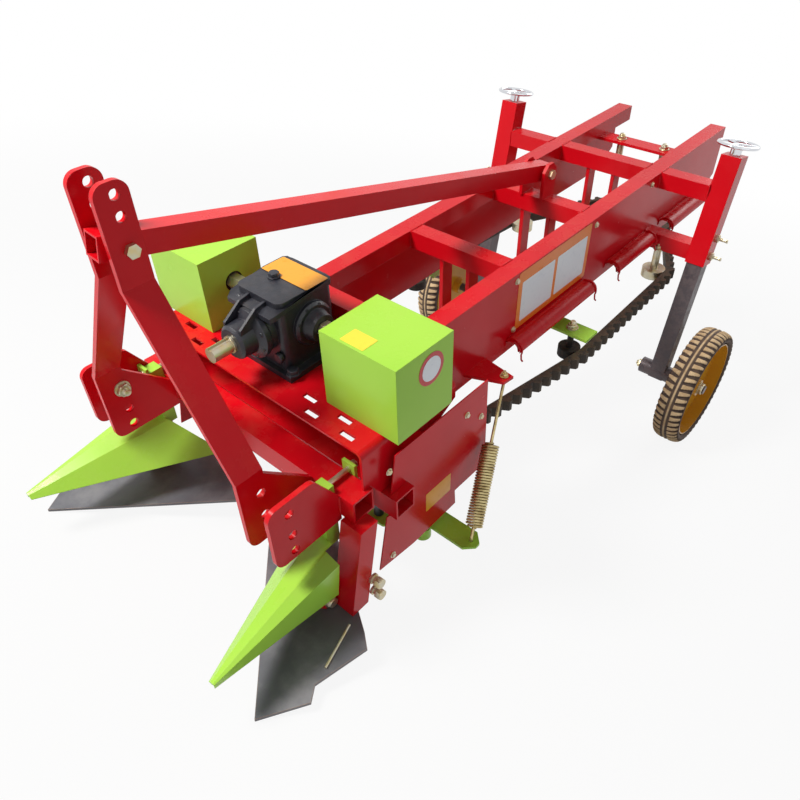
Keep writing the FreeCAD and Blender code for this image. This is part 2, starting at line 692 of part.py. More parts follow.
def make_input_shaft():
    """The keyed input stub that a drive shaft from the tractor slides onto."""
    level, radius = at.shaft_level, at.input_shaft / 2
    inner = at.cross_shaft_line - at.cross_round / 2 - 8
    shaft = Piece("input_shaft")
    shaft.pad("front", at.input_front, inner, circles=[((hitch, level), radius)])
    shaft.pad("front", at.input_front + at.input_length, inner, circles=[((hitch, level), at.journal / 2)])
    shaft.cut("front", at.input_front - 1, at.input_front + at.input_length,
              [box_points((hitch - 5, level + radius - 5), (hitch + 5, level + radius + 1))])
    shaft.keep()


def hexagon(flats, line, level):
    """Corners of a hexagon with an upright pair of flats."""
    points = []
    for step in range(6):
        angle = math.radians(60 * step)
        across = flats / (2 * math.cos(math.radians(30)))
        points.append((line + across * math.cos(angle), level + across * math.sin(angle)))
    return points


def make_cross_shaft():
    """The output shaft through the gearbox, hexagonal outside it, into both bevel housings."""
    level, line = at.shaft_level, at.cross_shaft_line
    reach = at.drive_line_half - at.drive_block / 2
    shaft = Piece("cross_shaft")
    shaft.pad("side", hitch - reach - 30, hitch + reach + 30, circles=[((line, level), at.cross_round / 2)])
    for sign in (-1, 1):
        low, high = span(sign, at.boss_reach + 2, reach - 2, hitch)
        shaft.pad("side", low, high, [hexagon(at.cross_flats, line, level)])
    shaft.keep()


def make_drive_covers():
    """Sheet covers over the bevel housings, open below, with a hole for the cross shaft."""
    wall = at.cover_wall
    for side, sign in SIDES:
        low, high = span(sign, at.cover_inner_half, at.cover_outer_half, hitch)
        cover = Piece(side + "_drive_cover")
        cover.pad("top", at.deck_top, at.cover_top, [box_points((low, at.cover_front), (high, at.cover_rear))])
        cover.cut("top", at.deck_top - 1, at.cover_top - wall,
                  [box_points((low + wall, at.cover_front + wall), (high - wall, at.cover_rear - wall))])
        inner = span(sign, at.cover_inner_half - 1, at.cover_inner_half + wall + 1, hitch)
        cover.cut("side", inner[0], inner[1],
                  circles=[((at.cross_shaft_line, at.shaft_level), at.cross_flats / 2 + 7)])
        cover.keep()


def make_drives():
    """Bevel housing, upright housing through the deck, shaft and front sprocket."""
    level = at.chain_level
    half = at.drive_block / 2
    for side, sign in SIDES:
        middle, line = hitch + sign * at.drive_line_half, at.cross_shaft_line
        drive = Piece(side + "_chain_drive")
        drive.pad("top", at.deck_top, at.shaft_level + 40,
                  [box_points((middle - half, line - half), (middle + half, line + half))])
        drive.round_off(14, lambda edge: along(edge, "Z"))
        low, high = span(sign, -half - 1, 10, middle)
        drive.cut("side", low, high, circles=[((line, at.shaft_level), at.cross_round / 2 + at.shaft_clear)])
        drive.pad("top", level + 26, at.deck_top, circles=[((middle, line), at.column_round)])
        drive.pad("top", at.arm_level - 26, level + 26, circles=[((middle, line), at.axle_round + 4)])
        drive.pad("top", level - 6, level + 6,
                  circles=[((middle, line), at.front_wheel_radius - at.chain_back - at.chain_sink)])
        drive.keep()


# Gripping chains ---------------------------------------------------------------------------

def idler_half(sign):
    """Distance of an idler from the machine's centre."""
    return at.idler_left if sign > 0 else at.idler_right


def chain_wheels(sign):
    """Centres and radii that a chain runs around, in order, starting at the drive."""
    grip = at.grip_half.number
    drive = hitch.number + sign * at.drive_line_half.number
    return [
        (drive, at.cross_shaft_line.number, at.front_wheel_radius.number),
        (sign * idler_half(sign).number, at.idler_line.number, at.idler_radius.number),
        (sign * at.side_wheel_half.number, at.side_wheel_line.number, at.side_wheel_radius.number),
        (sign * (grip + at.rear_wheel_radius.number), at.rear_wheel_line.number, at.rear_wheel_radius.number),
        (sign * (grip + at.guide_nose.number), at.guide_front.number, at.guide_nose.number),
    ]


def chain_path(wheels, sign):
    """Straight runs between the wheels' common tangents: a list of (start, end, wheel)."""
    runs = []
    for index, (x, y, radius) in enumerate(wheels):
        nx, ny, other = wheels[(index + 1) % len(wheels)]
        length = math.hypot(nx - x, ny - y)
        heading = math.atan2(ny - y, nx - x)
        turn = heading - sign * math.acos((radius - other) / length)
        outward = (math.cos(turn), math.sin(turn))
        runs.append(((x + radius * outward[0], y + radius * outward[1]),
                     (nx + other * outward[0], ny + other * outward[1])))
    return runs


def chain_walk(wheels, sign):
    """Points and outward directions along a chain's middle line, as a function of length."""
    runs = chain_path(wheels, sign)
    pieces = []
    for index, (start, end) in enumerate(runs):
        length = math.dist(start, end)
        pieces.append(("run", length, start, end))
        x, y, radius = wheels[(index + 1) % len(wheels)]
        following = runs[(index + 1) % len(runs)][0]
        first = math.atan2(end[1] - y, end[0] - x)
        last = math.atan2(following[1] - y, following[0] - x)
        sweep = (last - first) * sign % (2 * math.pi)
        pieces.append(("arc", radius * sweep, (x, y, radius), (first, sweep * sign)))
    total = sum(piece[1] for piece in pieces)

    def spot(distance):
        distance %= total
        for kind, length, first, second in pieces:
            if distance <= length:
                break
            distance -= length
        share = distance / length if length else 0
        if kind == "run":
            heading = math.atan2(second[1] - first[1], second[0] - first[0])
            place = (first[0] + share * (second[0] - first[0]), first[1] + share * (second[1] - first[1]))
            outward = heading - sign * math.pi / 2
            return place, (math.cos(outward), math.sin(outward))
        x, y, radius = first
        angle = second[0] + share * second[1]
        return (x + radius * math.cos(angle), y + radius * math.sin(angle)), (math.cos(angle), math.sin(angle))

    return spot, total


def make_chains():
    """Endless rubber chains, one loop each, with saw-like gripping teeth in the outline."""
    low = at.chain_level.number - at.chain_height.number / 2
    back = at.chain_back.number
    for side, sign in SIDES:
        spot, total = chain_walk(chain_wheels(sign), sign)
        teeth = int(total / at.tooth_pitch.number)
        pitch = total / teeth
        outer, inner = [], []
        for tooth in range(teeth):
            for share, reach in ((0.0, back), (0.30, back + at.tooth_reach.number),
                                 (0.55, back + at.tooth_reach.number), (0.72, back)):
                place, outward = spot((tooth + share) * pitch)
                outer.append(FreeCAD.Vector(place[0] + reach * outward[0], place[1] + reach * outward[1], low))
            for share in (0.0, 0.5):
                place, outward = spot((tooth + share) * pitch)
                inner.append(FreeCAD.Vector(place[0] - back * outward[0], place[1] - back * outward[1], low))
        faces = [Part.Face(Part.Wire(Part.makePolygon(points + points[:1]))) for points in (outer, inner)]
        band = faces[0].cut(faces[1]).Faces[0]
        solid = band.extrude(FreeCAD.Vector(0, 0, at.chain_height.number))
        feature = doc.addObject("Part::Feature", side + "_chain_loop")
        feature.Shape = solid
        keep(side + "_chain_loop", feature)


def make_chain_wheels():
    """Rear sprockets, side rollers and idlers inside the chain loops, on their own axles."""
    level = at.chain_level
    inside = at.chain_back + at.chain_sink
    for side, sign in SIDES:
        rear = Piece(side + "_rear_sprocket")
        centre = (sign * (at.grip_half + at.rear_wheel_radius), at.rear_wheel_line)
        rear.pad("top", level - 6, level + 6, circles=[(centre, at.rear_wheel_radius - inside)])
        rear.pad("top", level + 6, level + 30, circles=[(centre, as_size(24))])
        rear.pad("top", level + 30, rail_low, circles=[(centre, at.axle_round + 3)])
        rear.keep()
        roller = Piece(side + "_side_roller")
        centre = (sign * at.side_wheel_half, at.side_wheel_line)
        roller.pad("top", level - 14, level + 14, circles=[(centre, at.side_wheel_radius - inside)])
        roller.pad("top", level + 14, at.lower_level, circles=[(centre, at.axle_round + 3)])
        roller.keep()


def make_rear_bar():
    """A flat bar under the rails that carries the rear sprockets' axles."""
    bar = Piece("rear_bearing_bar")
    line, half = at.rear_wheel_line, at.rear_bar_depth / 2
    reach = at.frame_half - 5
    holes = [((sign * (at.grip_half + at.rear_wheel_radius), line), at.axle_round + 3 + at.seat_gap)
             for side, sign in SIDES]
    bar.pad("top", rail_low - at.rear_bar_thick, rail_low,
            [box_points((-reach, line - half), (reach, line + half))], holes)
    bar.keep()


def make_idler_brackets():
    """Angle brackets under the side panels that carry the idlers."""
    for side, sign in SIDES:
        bracket = Piece(side + "_idler_bracket")
        near = at.frame_half + at.panel_thick
        low, high = span(sign, near, near + 6)
        front, rear = at.idler_line - 34, at.idler_line + 34
        bracket.pad("side", low, high, [box_points((front, at.bracket_level), (rear, at.hood_level - 3))])
        low, high = span(sign, near, idler_half(sign) + 62)
        bracket.pad("top", at.bracket_level, at.bracket_level + 8,
                    [box_points((low, front + 4), (high, rear - 4))])
        centre = (sign * idler_half(sign), at.idler_line)
        level, inside = at.chain_level, at.chain_back + at.chain_sink
        bracket.pad("top", level - 14, level + 14, circles=[(centre, at.idler_radius - inside)])
        bracket.pad("top", level + 14, at.bracket_level + 2, circles=[(centre, at.axle_round)])
        bracket.keep()


def make_chain_guides():
    """Bars behind the inner runs that press the chains together, hung from the cross tubes."""
    level = at.chain_level
    near = at.grip_half + at.chain_back + 0.4
    for side, sign in SIDES:
        guide = Piece(side + "_chain_guide")
        low, high = span(sign, near, near + 24)
        front, rear = at.guide_front, at.guide_rear
        guide.pad("top", level - 14, level + 14, [box_points((low, front), (high, rear))])
        low, high = span(sign, near + 6, near + 18)
        for line in cross_lines[1:]:
            guide.pad("top", level + 14, rail_low, [box_points((low, line - 20), (high, line + 20))])
        guide.keep()


# Wheel legs --------------------------------------------------------------------------------

def make_leg_brackets():
    """Tubes that carry each leg's sleeve: one level with the rails, one under the side panel."""
    near = at.frame_half + at.panel_thick
    far = at.leg_half - at.sleeve_tube / 2
    for side, sign in SIDES:
        low, high = span(sign, near, far)
        upper = square_tube(side + "_outrigger", "side", low, high,
                            (cross_lines[3] - at.rail_tube / 2, rail_low), at.rail_tube, at.rail_wall)
        upper.keep()
        lower = square_tube(side + "_lower_bracket", "side", low, high,
                            (at.lower_front, at.lower_level), at.rail_tube, at.rail_wall)
        lower.keep()


def make_sleeves():
    """Square sleeves with a cap that the height screw turns in; drawn in the leg's own frame."""
    half = at.sleeve_tube / 2
    for side, sign in SIDES:
        sleeve = square_tube(side + "_leg_sleeve", "top", -at.sleeve_length, as_size(0), (-half, -half),
                             at.sleeve_tube, at.sleeve_wall)
        sleeve.pad("top", as_size(0), as_size(6), [box_points((-half, -half), (half, half))],
                   [((0, 0), at.screw_radius + at.shaft_clear)])
        sleeve.keep(leg_frame(sign))


def make_leg_tubes():
    """Inner tubes with their nut plate, axle boss and stub axle; drawn in the leg's own frame."""
    half = at.sleeve_tube / 2 - at.sleeve_wall - at.slide_clear
    for side, sign in SIDES:
        tube = square_tube(side + "_leg_tube", "top", -at.axle_drop - 20, -at.tube_head, (-half, -half),
                           2 * half, at.tube_wall)
        tube.pad("top", -at.tube_head - 10, -at.tube_head, [box_points((-half, -half), (half, half))],
                 [((0, 0), at.screw_radius + at.shaft_clear)])
        low, high = span(sign, -at.axle_inner, half + 18)
        tube.pad("side", low, high, circles=[((0, -at.axle_drop), at.axle_boss)])
        low, high = span(sign, half + 18, at.wheel_middle + 40)
        tube.pad("side", low, high, circles=[((0, -at.axle_drop), at.axle_radius)])
        tube.keep(leg_frame(sign))


def make_wheels():
    """Tyres and dished rims; drawn in the leg's own frame, about the axle."""
    drop = -at.axle_drop
    half = at.tyre_width / 2
    for side, sign in SIDES:
        middle = sign * at.wheel_middle
        tyre = Piece(side + "_tyre")
        shoulder = at.tyre_radius - 12
        outline = [(middle - half + 6, drop + at.rim_radius), (middle - half, drop + at.rim_radius + 8),
                   (middle - half, drop + shoulder), (middle - half + 10, drop + at.tyre_radius - 3),
                   (middle - 4, drop + at.tyre_radius), (middle - 3, drop + at.tyre_radius - 5),
                   (middle + 3, drop + at.tyre_radius - 5), (middle + 4, drop + at.tyre_radius),
                   (middle + half - 10, drop + at.tyre_radius - 3), (middle + half, drop + shoulder),
                   (middle + half, drop + at.rim_radius + 8), (middle + half - 6, drop + at.rim_radius)]
        tyre.turn("front", outline, ((-300, drop), (300, drop)))
        tyre.keep(leg_frame(sign))
        rim = Piece(side + "_rim")
        wall = at.rim_wall
        seat = at.rim_radius - 0.3
        edge = half - 6
        disc = middle - sign * 6
        bore = at.axle_radius + at.shaft_clear
        outline = [(disc - 26, drop + bore), (disc + 26, drop + bore), (disc + 26, drop + at.hub_radius),
                   (disc + wall / 2, drop + at.hub_radius + 4), (disc + wall / 2, drop + seat - wall),
                   (middle + edge, drop + seat - wall), (middle + edge, drop + seat),
                   (middle - edge, drop + seat), (middle - edge, drop + seat - wall),
                   (disc - wall / 2, drop + seat - wall), (disc - wall / 2, drop + at.hub_radius + 4),
                   (disc - 26, drop + at.hub_radius)]
        rim.turn("front", outline, ((-300, drop), (300, drop)))
        rim.keep(leg_frame(sign))


def make_handwheels():
    """Handwheels with three spokes on the height screws; drawn in the leg's own frame."""
    for side, sign in SIDES:
        ring = doc.addObject("Part::Torus", side + "_ring")
        bind(ring, "Radius1", at.handwheel_radius - at.handwheel_rod)
        bind(ring, "Radius2", at.handwheel_rod)
        bind(ring, "Placement.Base.z", at.handwheel_rise)
        hub = doc.addObject("Part::Cylinder", side + "_hub")
        bind(hub, "Radius", at.screw_radius + 6)
        bind(hub, "Height", at.handwheel_rise - 6)
        hub.Placement.Base.z = 6.3
        screw = doc.addObject("Part::Cylinder", side + "_screw")
        bind(screw, "Radius", at.screw_radius)
        bind(screw, "Height", at.sleeve_length * 0.8)
        bind(screw, "Placement.Base.z", 10 - at.sleeve_length * 0.8)
        spokes = []
        for number in range(3):
            spoke = doc.addObject("Part::Cylinder", "%s_spoke_%d" % (side, number))
            bind(spoke, "Radius", at.handwheel_rod - 1)
            bind(spoke, "Height", at.handwheel_radius - at.handwheel_rod)
            turn = FreeCAD.Rotation(FreeCAD.Vector(0, 0, 1), 120 * number + 20)
            tip = FreeCAD.Rotation(FreeCAD.Vector(0, 1, 0), 90)
            spoke.Placement = FreeCAD.Placement(FreeCAD.Vector(0, 0, 0), turn.multiply(tip))
            bind(spoke, "Placement.Base.z", at.handwheel_rise)
            spokes.append(spoke)
        fuse = doc.addObject("Part::MultiFuse", side + "_handwheel")
        fuse.Shapes = [ring, hub, screw] + spokes
        keep(side + "_handwheel", fuse, leg_frame(sign))


# Digging shares, dividers, shields ---------------------------------------------------------

def make_shares():
    """Swept digging shares: from an outer point inward and back to the machine's centre."""
    top, tip = at.share_level, at.share_tip_line
    low = top - at.share_thick
    for side, sign in SIDES:
        share = Piece(side + "_share")
        corners = [(at.share_tip_half, tip), (at.share_tip_half + 60, tip + 98),
                   (at.share_tip_half + 38, tip + 130), (at.share_tip_half + at.share_flare, tip + 260),
                   (at.share_tip_half + 33, tip + 285), (as_size(224), tip + 428), (as_size(54), tip + 356)]
        share.pad("top", low, top, [[(hitch + sign * x, y) for x, y in corners]])
        half = at.shank_width / 2 - at.shank_wall - 1
        low_x, high_x = hitch + sign * at.shank_half - half, hitch + sign * at.shank_half + half
        slope = math.tan(math.radians(at.leg_lean.number))
        rise = as_size(90)
        foot = top * slope + 10
        share.pad("side", low_x, high_x,
                  [[(foot, top), (foot + at.shank_depth - 22, top),
                    (foot + at.shank_depth - 22 + rise * slope, top + rise), (foot + rise * slope, top + rise)]])
        share.keep()


def make_shanks():
    """Square shanks under the ends of the front beam, leaning forward at the foot."""
    slope = math.tan(math.radians(at.leg_lean.number))
    top, low = -at.beam_tube, at.share_level
    wall = at.shank_wall
    for side, sign in SIDES:
        middle = hitch + sign * (at.shank_half)
        half = at.shank_width / 2
        shank = Piece(side + "_shank")

        def slanted(inset, upper, lower):
            return [(upper * slope + inset, upper), (lower * slope + inset, lower),
                    (lower * slope + at.shank_depth - inset, lower),
                    (upper * slope + at.shank_depth - inset, upper)]

        start = top
        shank.pad("side", middle - half, middle + half, [slanted(as_size(0), start, low)])
        shank.cut("side", middle - half + wall, middle + half - wall, [slanted(wall, start - wall, low - 1)])
        ear = span(sign, at.shank_half - half - at.ear_plate, at.shank_half - half, hitch)
        line, level = at.ear_line, at.ear_level
        shank.pad("side", ear[0], ear[1],
                  [[(line + 50, level + 82), (line + 8, level + 54), (line - 24, level + 34),
                    (line - 30, level + 4), (line - 16, level - 16), (line + 20, low),
                    (line + 50, low)]], [((line, level + 6), at.ear_bolt / 2)])
        shank.keep()


def make_dividers():
    """Rolled sheet noses that part the crop, each on an upright bar clamped to the front beam."""
    tip = (at.divider_tip_half, at.divider_tip_level)
    arch = [(at.divider_outer, at.divider_low), (at.divider_ridge, at.divider_ridge_level),
            (at.divider_crown, at.divider_crown_level), (at.divider_bend, at.divider_bend_level),
            (at.divider_inner, at.divider_inner_level)]
    thick = at.divider_sheet
    under = [(arch[4][0] + thick, arch[4][1] - 1), (arch[3][0] + thick / 2, arch[3][1] - thick),
             (arch[2][0], arch[2][1] - thick), (arch[1][0] - thick, arch[1][1] - thick),
             (arch[0][0] - thick, arch[0][1])]
    top, width, bar = -at.beam_tube / 2, at.clamp_width / 2, at.clamp_bar / 2
    trim = [(at.divider_ridge + 40, at.divider_end), (at.divider_crown, at.divider_end),
            (at.divider_crown, at.divider_end + 22), (at.divider_bend + 20, -at.clamp_bar + 6),
            (at.divider_inner + 2, at.divider_rear - 4), (at.divider_inner - 20, at.divider_rear + 2),
            (at.divider_ridge + 40, at.divider_rear + 2)]
    for side, sign in SIDES:
        divider = Piece(side + "_divider")

        def across(points, share):
            """Points of the arch drawn in towards the tip, in the sketch's own coordinates."""
            return [(hitch + sign * (tip[0] + (x - tip[0]) * share), tip[1] + (z - tip[1]) * share)
                    for x, z in points]

        divider.loft("front", [(at.divider_rear, across(arch, 1) + across(under, 1)),
                               (at.divider_tip_line, across(arch, 0.09) + across(under, 0.03))])
        divider.cut("top", at.divider_low - 20, -at.beam_tube, [[(hitch + sign * x, y) for x, y in trim]])
        middle = hitch + sign * at.clamp_half
        divider.pad("front", -at.clamp_bar, as_size(0),
                    [box_points((middle - bar, at.bar_foot), (middle + bar, top + at.clamp_reach + 10))])
        divider.pad("side", middle - 6, middle + 6,
                    [[(at.divider_end - 18, at.bar_foot), (as_size(-20), at.bar_foot),
                      (as_size(-20), at.bar_foot + 24), (at.divider_end - 18, at.bar_foot + 11)]])
        divider.pad("front", -at.clamp_bar - at.clamp_plate, -at.clamp_bar,
                    [box_points((middle - width, top - at.clamp_reach - 20),
                                (middle + width, top + at.clamp_reach + 24))])
        divider.pad("front", at.beam_tube, at.beam_tube + at.clamp_plate,
                    [box_points((middle - width, top - at.clamp_reach - 16),
                                (middle + width, top + at.clamp_reach + 16))])
        for way in (-1, 1):
            divider.pad("front", -at.clamp_bar - at.clamp_plate - 12, at.beam_tube + at.clamp_plate + 12,
                        circles=[((middle, top + way * at.clamp_reach), at.clamp_bolt / 2)])
        divider.keep()


def make_shields():
    """Sheet shields beside the front sprockets, notched around the second beam."""
    notch_top = at.second_beam_top + 0.5
    notch_low = at.second_beam_top - at.beam_tube - 0.5
    notch_rear = at.second_beam_front + at.beam_tube + 0.5
    for side, sign in SIDES:
        low, high = span(sign, at.shield_half, at.shield_half + at.shield_thick, hitch)
        shield = Piece(side + "_shield")
        shield.pad("side", low, high,
                   [[(117, 60), (440, 60), (452, -226), (328, -226), (332, -276), (171, -280), (52, -265),
                     (84, notch_low), (notch_rear, notch_low), (notch_rear, notch_top), (100, notch_top)]])
        low, high = span(sign, at.deck_half, at.shield_half, hitch)
        shield.pad("side", low, high, [box_points((160, 10), (215, 50))])
        shield.keep()


def make_tension_arm():
    """A cranked flat arm that swings on the left upright shaft, with a roller below it."""
    middle, line = hitch + at.drive_line_half, at.cross_shaft_line
    top, low = at.arm_level, at.arm_level - at.arm_thick
    half = at.arm_width / 2
    arm = Piece("tension_arm")
    arm.pad("top", low, top, [[(middle - 24, line - 30), (middle + 34, line - 24),
                               (middle + 120, at.arm_line - half), (at.arm_tip - 24, at.arm_line - half),
                               (at.arm_tip, at.arm_line - half + 24), (at.arm_tip, at.arm_line + half - 24),
                               (at.arm_tip - 24, at.arm_line + half), (middle + 100, at.arm_line + half),
                               (middle - 24, line + 30)]],
            [((middle, line), at.axle_round + 4 + at.shaft_clear),
             ((at.arm_tip - 20, at.arm_line), at.hook_radius + 0.6)])
    arm.pad("top", low - 34, low, circles=[((middle + 108, at.arm_line - 36), as_size(22))])
    arm.keep()


def rod(name, start, end, radius):
    """A round bar between two points."""
    bar = doc.addObject("Part::Cylinder", name)
    bind(bar, "Radius", radius)
    bar.Height = (end - start).Length
    bar.Placement = FreeCAD.Placement(start, FreeCAD.Rotation(FreeCAD.Vector(0, 0, 1), end - start))
    return bar


def make_spring():
    """The tension spring, with its eye bolt down from the hook plate and its hook into the arm."""
    level = at.hook_level.number
    wire = at.hook_radius
    head = FreeCAD.Vector(at.hook_side.number, at.hook_line.number, level + 24)
    top = FreeCAD.Vector(head.x, head.y, level - 16)
    foot = FreeCAD.Vector(at.arm_tip.number - 20, at.arm_line.number, at.arm_level.number + 14)
    tail = FreeCAD.Vector(foot.x, foot.y, at.arm_level.number - at.arm_thick.number - 8)
    course = (top - foot).normalize()
    low = foot + course * 22
    pieces = [rod("eye_bolt", head, top, wire), rod("upper_wire", top, low, wire),
              rod("lower_wire", low, foot, wire), rod("hook_tip", foot, tail, wire),
              rod("coils", low, low + course * at.spring_length.number, at.spring_radius),
              rod("nut", FreeCAD.Vector(head.x, head.y, level + 8 + at.seat_gap.number),
                  FreeCAD.Vector(head.x, head.y, level + 16), wire * 2.5)]
    for number, place in enumerate((top, foot)):
        bend = doc.addObject("Part::Sphere", "bend_%d" % number)
        bind(bend, "Radius", wire)
        bend.Placement.Base = place
        pieces.append(bend)
    fuse = doc.addObject("Part::MultiFuse", "tension_spring")
    fuse.Shapes = pieces
    keep("tension_spring", fuse)


make_rails()
make_cross_tubes()
make_side_panels()
make_beams()
make_deck()
make_masts()
make_hitch_plates()
make_top_strut()
make_strut_bolts()
make_gearbox()
make_input_shaft()
make_cross_shaft()
make_drive_covers()
make_drives()
make_chains()
make_chain_wheels()
make_chain_wheels()
make_rear_bar()
make_idler_brackets()
make_chain_guides()
make_leg_brackets()
make_sleeves()
make_leg_tubes()
make_wheels()
make_handwheels()
make_shares()
make_shanks()
make_dividers()
make_shields()
make_tension_arm()
make_spring()
doc.recompute()

for thing in doc.Objects:
    assert not {"Invalid", "Error"} & set(thing.State), "%s failed: %s" % (thing.Name, thing.State)
for name, thing in NODES.items():
    assert not thing.Shape.isNull() and thing.Shape.isValid(), "%s has no valid shape" % name
    assert thing.Shape.Solids, "%s has no solid" % name

os.makedirs("parts", exist_ok=True)
for name, thing in NODES.items():
    thing.Shape.exportStep("parts/%s.step" % name)
    print("%-22s %d solid(s) %9.1f cm3" % (name, len(thing.Shape.Solids), thing.Shape.Volume / 1000))
print("rails rise %.4f degrees, their origin at %s" % (contact_tilt(), tuple(stance().Base)))
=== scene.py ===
"""Looks of a towed peanut harvester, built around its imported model.

Finishes come first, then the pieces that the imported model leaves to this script: tyre treads, the
coil spring, fasteners, pipe guards, hub covers, gearbox castings, weld beads and labels without
lettering. The camera and the stage come last.
Lengths are metres. Where a piece is laid out along the rails they are millimetres from the hitch,
with x to the machine's left, y to the rear and z up, and stand() turns them by the slope at which
the machine stands.
"""

import json
import math

import bmesh
import bpy
import numpy as np
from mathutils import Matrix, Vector


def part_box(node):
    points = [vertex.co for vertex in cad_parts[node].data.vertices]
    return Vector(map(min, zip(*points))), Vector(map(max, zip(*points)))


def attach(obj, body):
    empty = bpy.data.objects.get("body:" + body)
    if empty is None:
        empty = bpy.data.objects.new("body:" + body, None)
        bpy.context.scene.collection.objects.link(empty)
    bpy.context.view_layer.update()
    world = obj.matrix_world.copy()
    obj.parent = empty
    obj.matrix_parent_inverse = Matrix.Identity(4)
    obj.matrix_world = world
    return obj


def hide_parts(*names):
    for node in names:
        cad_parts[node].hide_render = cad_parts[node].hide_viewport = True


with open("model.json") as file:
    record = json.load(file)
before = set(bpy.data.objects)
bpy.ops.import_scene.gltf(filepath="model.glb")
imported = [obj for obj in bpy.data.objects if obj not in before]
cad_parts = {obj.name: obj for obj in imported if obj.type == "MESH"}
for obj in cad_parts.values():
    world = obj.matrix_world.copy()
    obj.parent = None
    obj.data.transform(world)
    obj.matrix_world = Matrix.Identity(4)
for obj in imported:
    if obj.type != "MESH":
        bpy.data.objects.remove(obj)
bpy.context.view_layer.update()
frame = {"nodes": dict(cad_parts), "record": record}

# ---------------------------------------------------------------- the way the machine stands
MM = 1000  # millimetres in a metre
SIDES = (("left", 1), ("right", -1))
SLOPE = math.radians(11.0926)
HITCH_ORIGIN = np.array([0.0105, -0.78239, 0.37545])
TILT = np.array([[1, 0, 0],
                 [0, math.cos(SLOPE), -math.sin(SLOPE)],
                 [0, math.sin(SLOPE), math.cos(SLOPE)]])


def stand(points):
    """Points along the rails, in millimetres from the hitch, as metres on the standing machine:
    turned about x by the slope, then moved to the hitch."""
    return np.asarray(points, float) / MM @ TILT.T + HITCH_ORIGIN


# ---------------------------------------------------------------- shader values
class Wire:
    """One socket of a material. Arithmetic on it adds Math nodes."""

    def __init__(self, graph, socket):
        self.graph, self.socket = graph, socket

    def math(self, operation, *values):
        """A Math node on two values."""
        return self.graph.node("ShaderNodeMath", {"operation": operation}, dict(enumerate(values)))

    def __add__(self, other):
        return self.math("ADD", self, other)

    def __mul__(self, other):
        return self.math("MULTIPLY", self, other)

    def __sub__(self, other):
        return self.math("SUBTRACT", self, other)

    def __rsub__(self, other):
        return self.math("SUBTRACT", other, self)

    def __lt__(self, other):
        return self.math("LESS_THAN", self, other)

    def larger(self, other):
        """The larger of two values."""
        return self.math("MAXIMUM", self, other)

    def ramp(self, low, high):
        """0 below low, 1 above high, smooth between."""
        settings = {"interpolation_type": "SMOOTHSTEP"}
        return self.graph.node("ShaderNodeMapRange", settings, {0: self, 1: low, 2: high})


class Graph:
    """The node tree of one material and the calls that fill it."""

    def __init__(self, name):
        self.material = bpy.data.materials.new(name)
        self.material.use_nodes = True
        self.tree = self.material.node_tree
        self.tree.nodes.clear()
        self.place = self.node("ShaderNodeTexCoord", out="Object")

    def node(self, kind, settings=None, inputs=None, out=0):
        """Adds a node: its settings first, then values or links for its sockets."""
        made = self.tree.nodes.new(kind)
        for key, value in (settings or {}).items():
            setattr(made, key, value)
        for key, value in (inputs or {}).items():
            if isinstance(value, Wire):
                self.tree.links.new(value.socket, made.inputs[key])
            else:
                made.inputs[key].default_value = value
        return Wire(self, made.outputs[out])

    def vectors(self, operation, inputs, out=0):
        """A Vector Math node."""
        return self.node("ShaderNodeVectorMath", {"operation": operation}, inputs, out)

    def noise(self, scale, detail=3.0, place=None, rough=0.5):
        """Cloudy noise from 0 to 1, scale clouds to a metre."""
        inputs = {"Vector": place or self.place, "Scale": scale, "Detail": detail,
                  "Roughness": rough}
        return self.node("ShaderNodeTexNoise", None, inputs)

    def stretched(self, factors):
        """Object coordinates multiplied by one factor an axis, for grain and streaks."""
        return self.vectors("MULTIPLY", {0: self.place, 1: factors})

    def mix(self, share, first, second):
        """One colour laid over another by share."""
        inputs = {0: share, 6: opaque(first), 7: opaque(second)}
        return self.node("ShaderNodeMix", {"data_type": "RGBA"}, inputs, 2)

    def bump(self, height, strength, distance, normal=None):
        """Normals tilted by the slope of height."""
        inputs = {"Height": height, "Strength": strength, "Distance": distance}
        if normal:
            inputs["Normal"] = normal
        return self.node("ShaderNodeBump", None, inputs)

    def faces(self):
        """The normals of the surface itself."""
        return self.node("ShaderNodeNewGeometry", out="Normal")

    def rounded(self, radius):
        """Normals softened over radius, as if each sharp edge were broken."""
        return self.node("ShaderNodeBevel", {"samples": 4}, {"Radius": radius})

    def edges(self, radius):
        """1 on sharp edges and 0 on faces: how far the softened normal leans from the true one."""
        along = self.vectors("DOT_PRODUCT", {0: self.faces(), 1: self.rounded(radius)}, 1)
        return (1 - along).ramp(0.02, 0.25)

    def upward(self):
        """How far a surface faces the sky, from -1 to 1."""
        return self.node("ShaderNodeSeparateXYZ", None, {0: self.faces()}, 2)

    def surface(self, colour, roughness, metallic=0.0, normal=None, **plain):
        """Ends the material in one Principled shader."""
        inputs = {"Base Color": opaque(colour), "Roughness": roughness, "Metallic": metallic}
        inputs.update({key.replace("_", " "): value for key, value in plain.items()})
        if normal:
            inputs["Normal"] = normal
        return self.end(self.node("ShaderNodeBsdfPrincipled", None, inputs))

    def end(self, shader):
        """Links the shader to the material's output and gives the material."""
        output = self.tree.nodes.new("ShaderNodeOutputMaterial")
        self.tree.links.new(shader.socket, output.inputs["Surface"])
        return self.material


def opaque(colour):
    """A colour of three numbers gets its alpha, and a link is left as it is."""
    return colour if isinstance(colour, Wire) else (*colour, 1.0)


def shade(red, green, blue):
    """A colour given as 0 to 255 on a screen, in the renderer's linear numbers: the screen's
    standard curve, straight near black and a power of 2.4 above."""
    levels = np.array([red, green, blue]) / 255
    return tuple(np.where(levels <= 0.04045, levels / 12.92, ((levels + 0.055) / 1.055) ** 2.4))


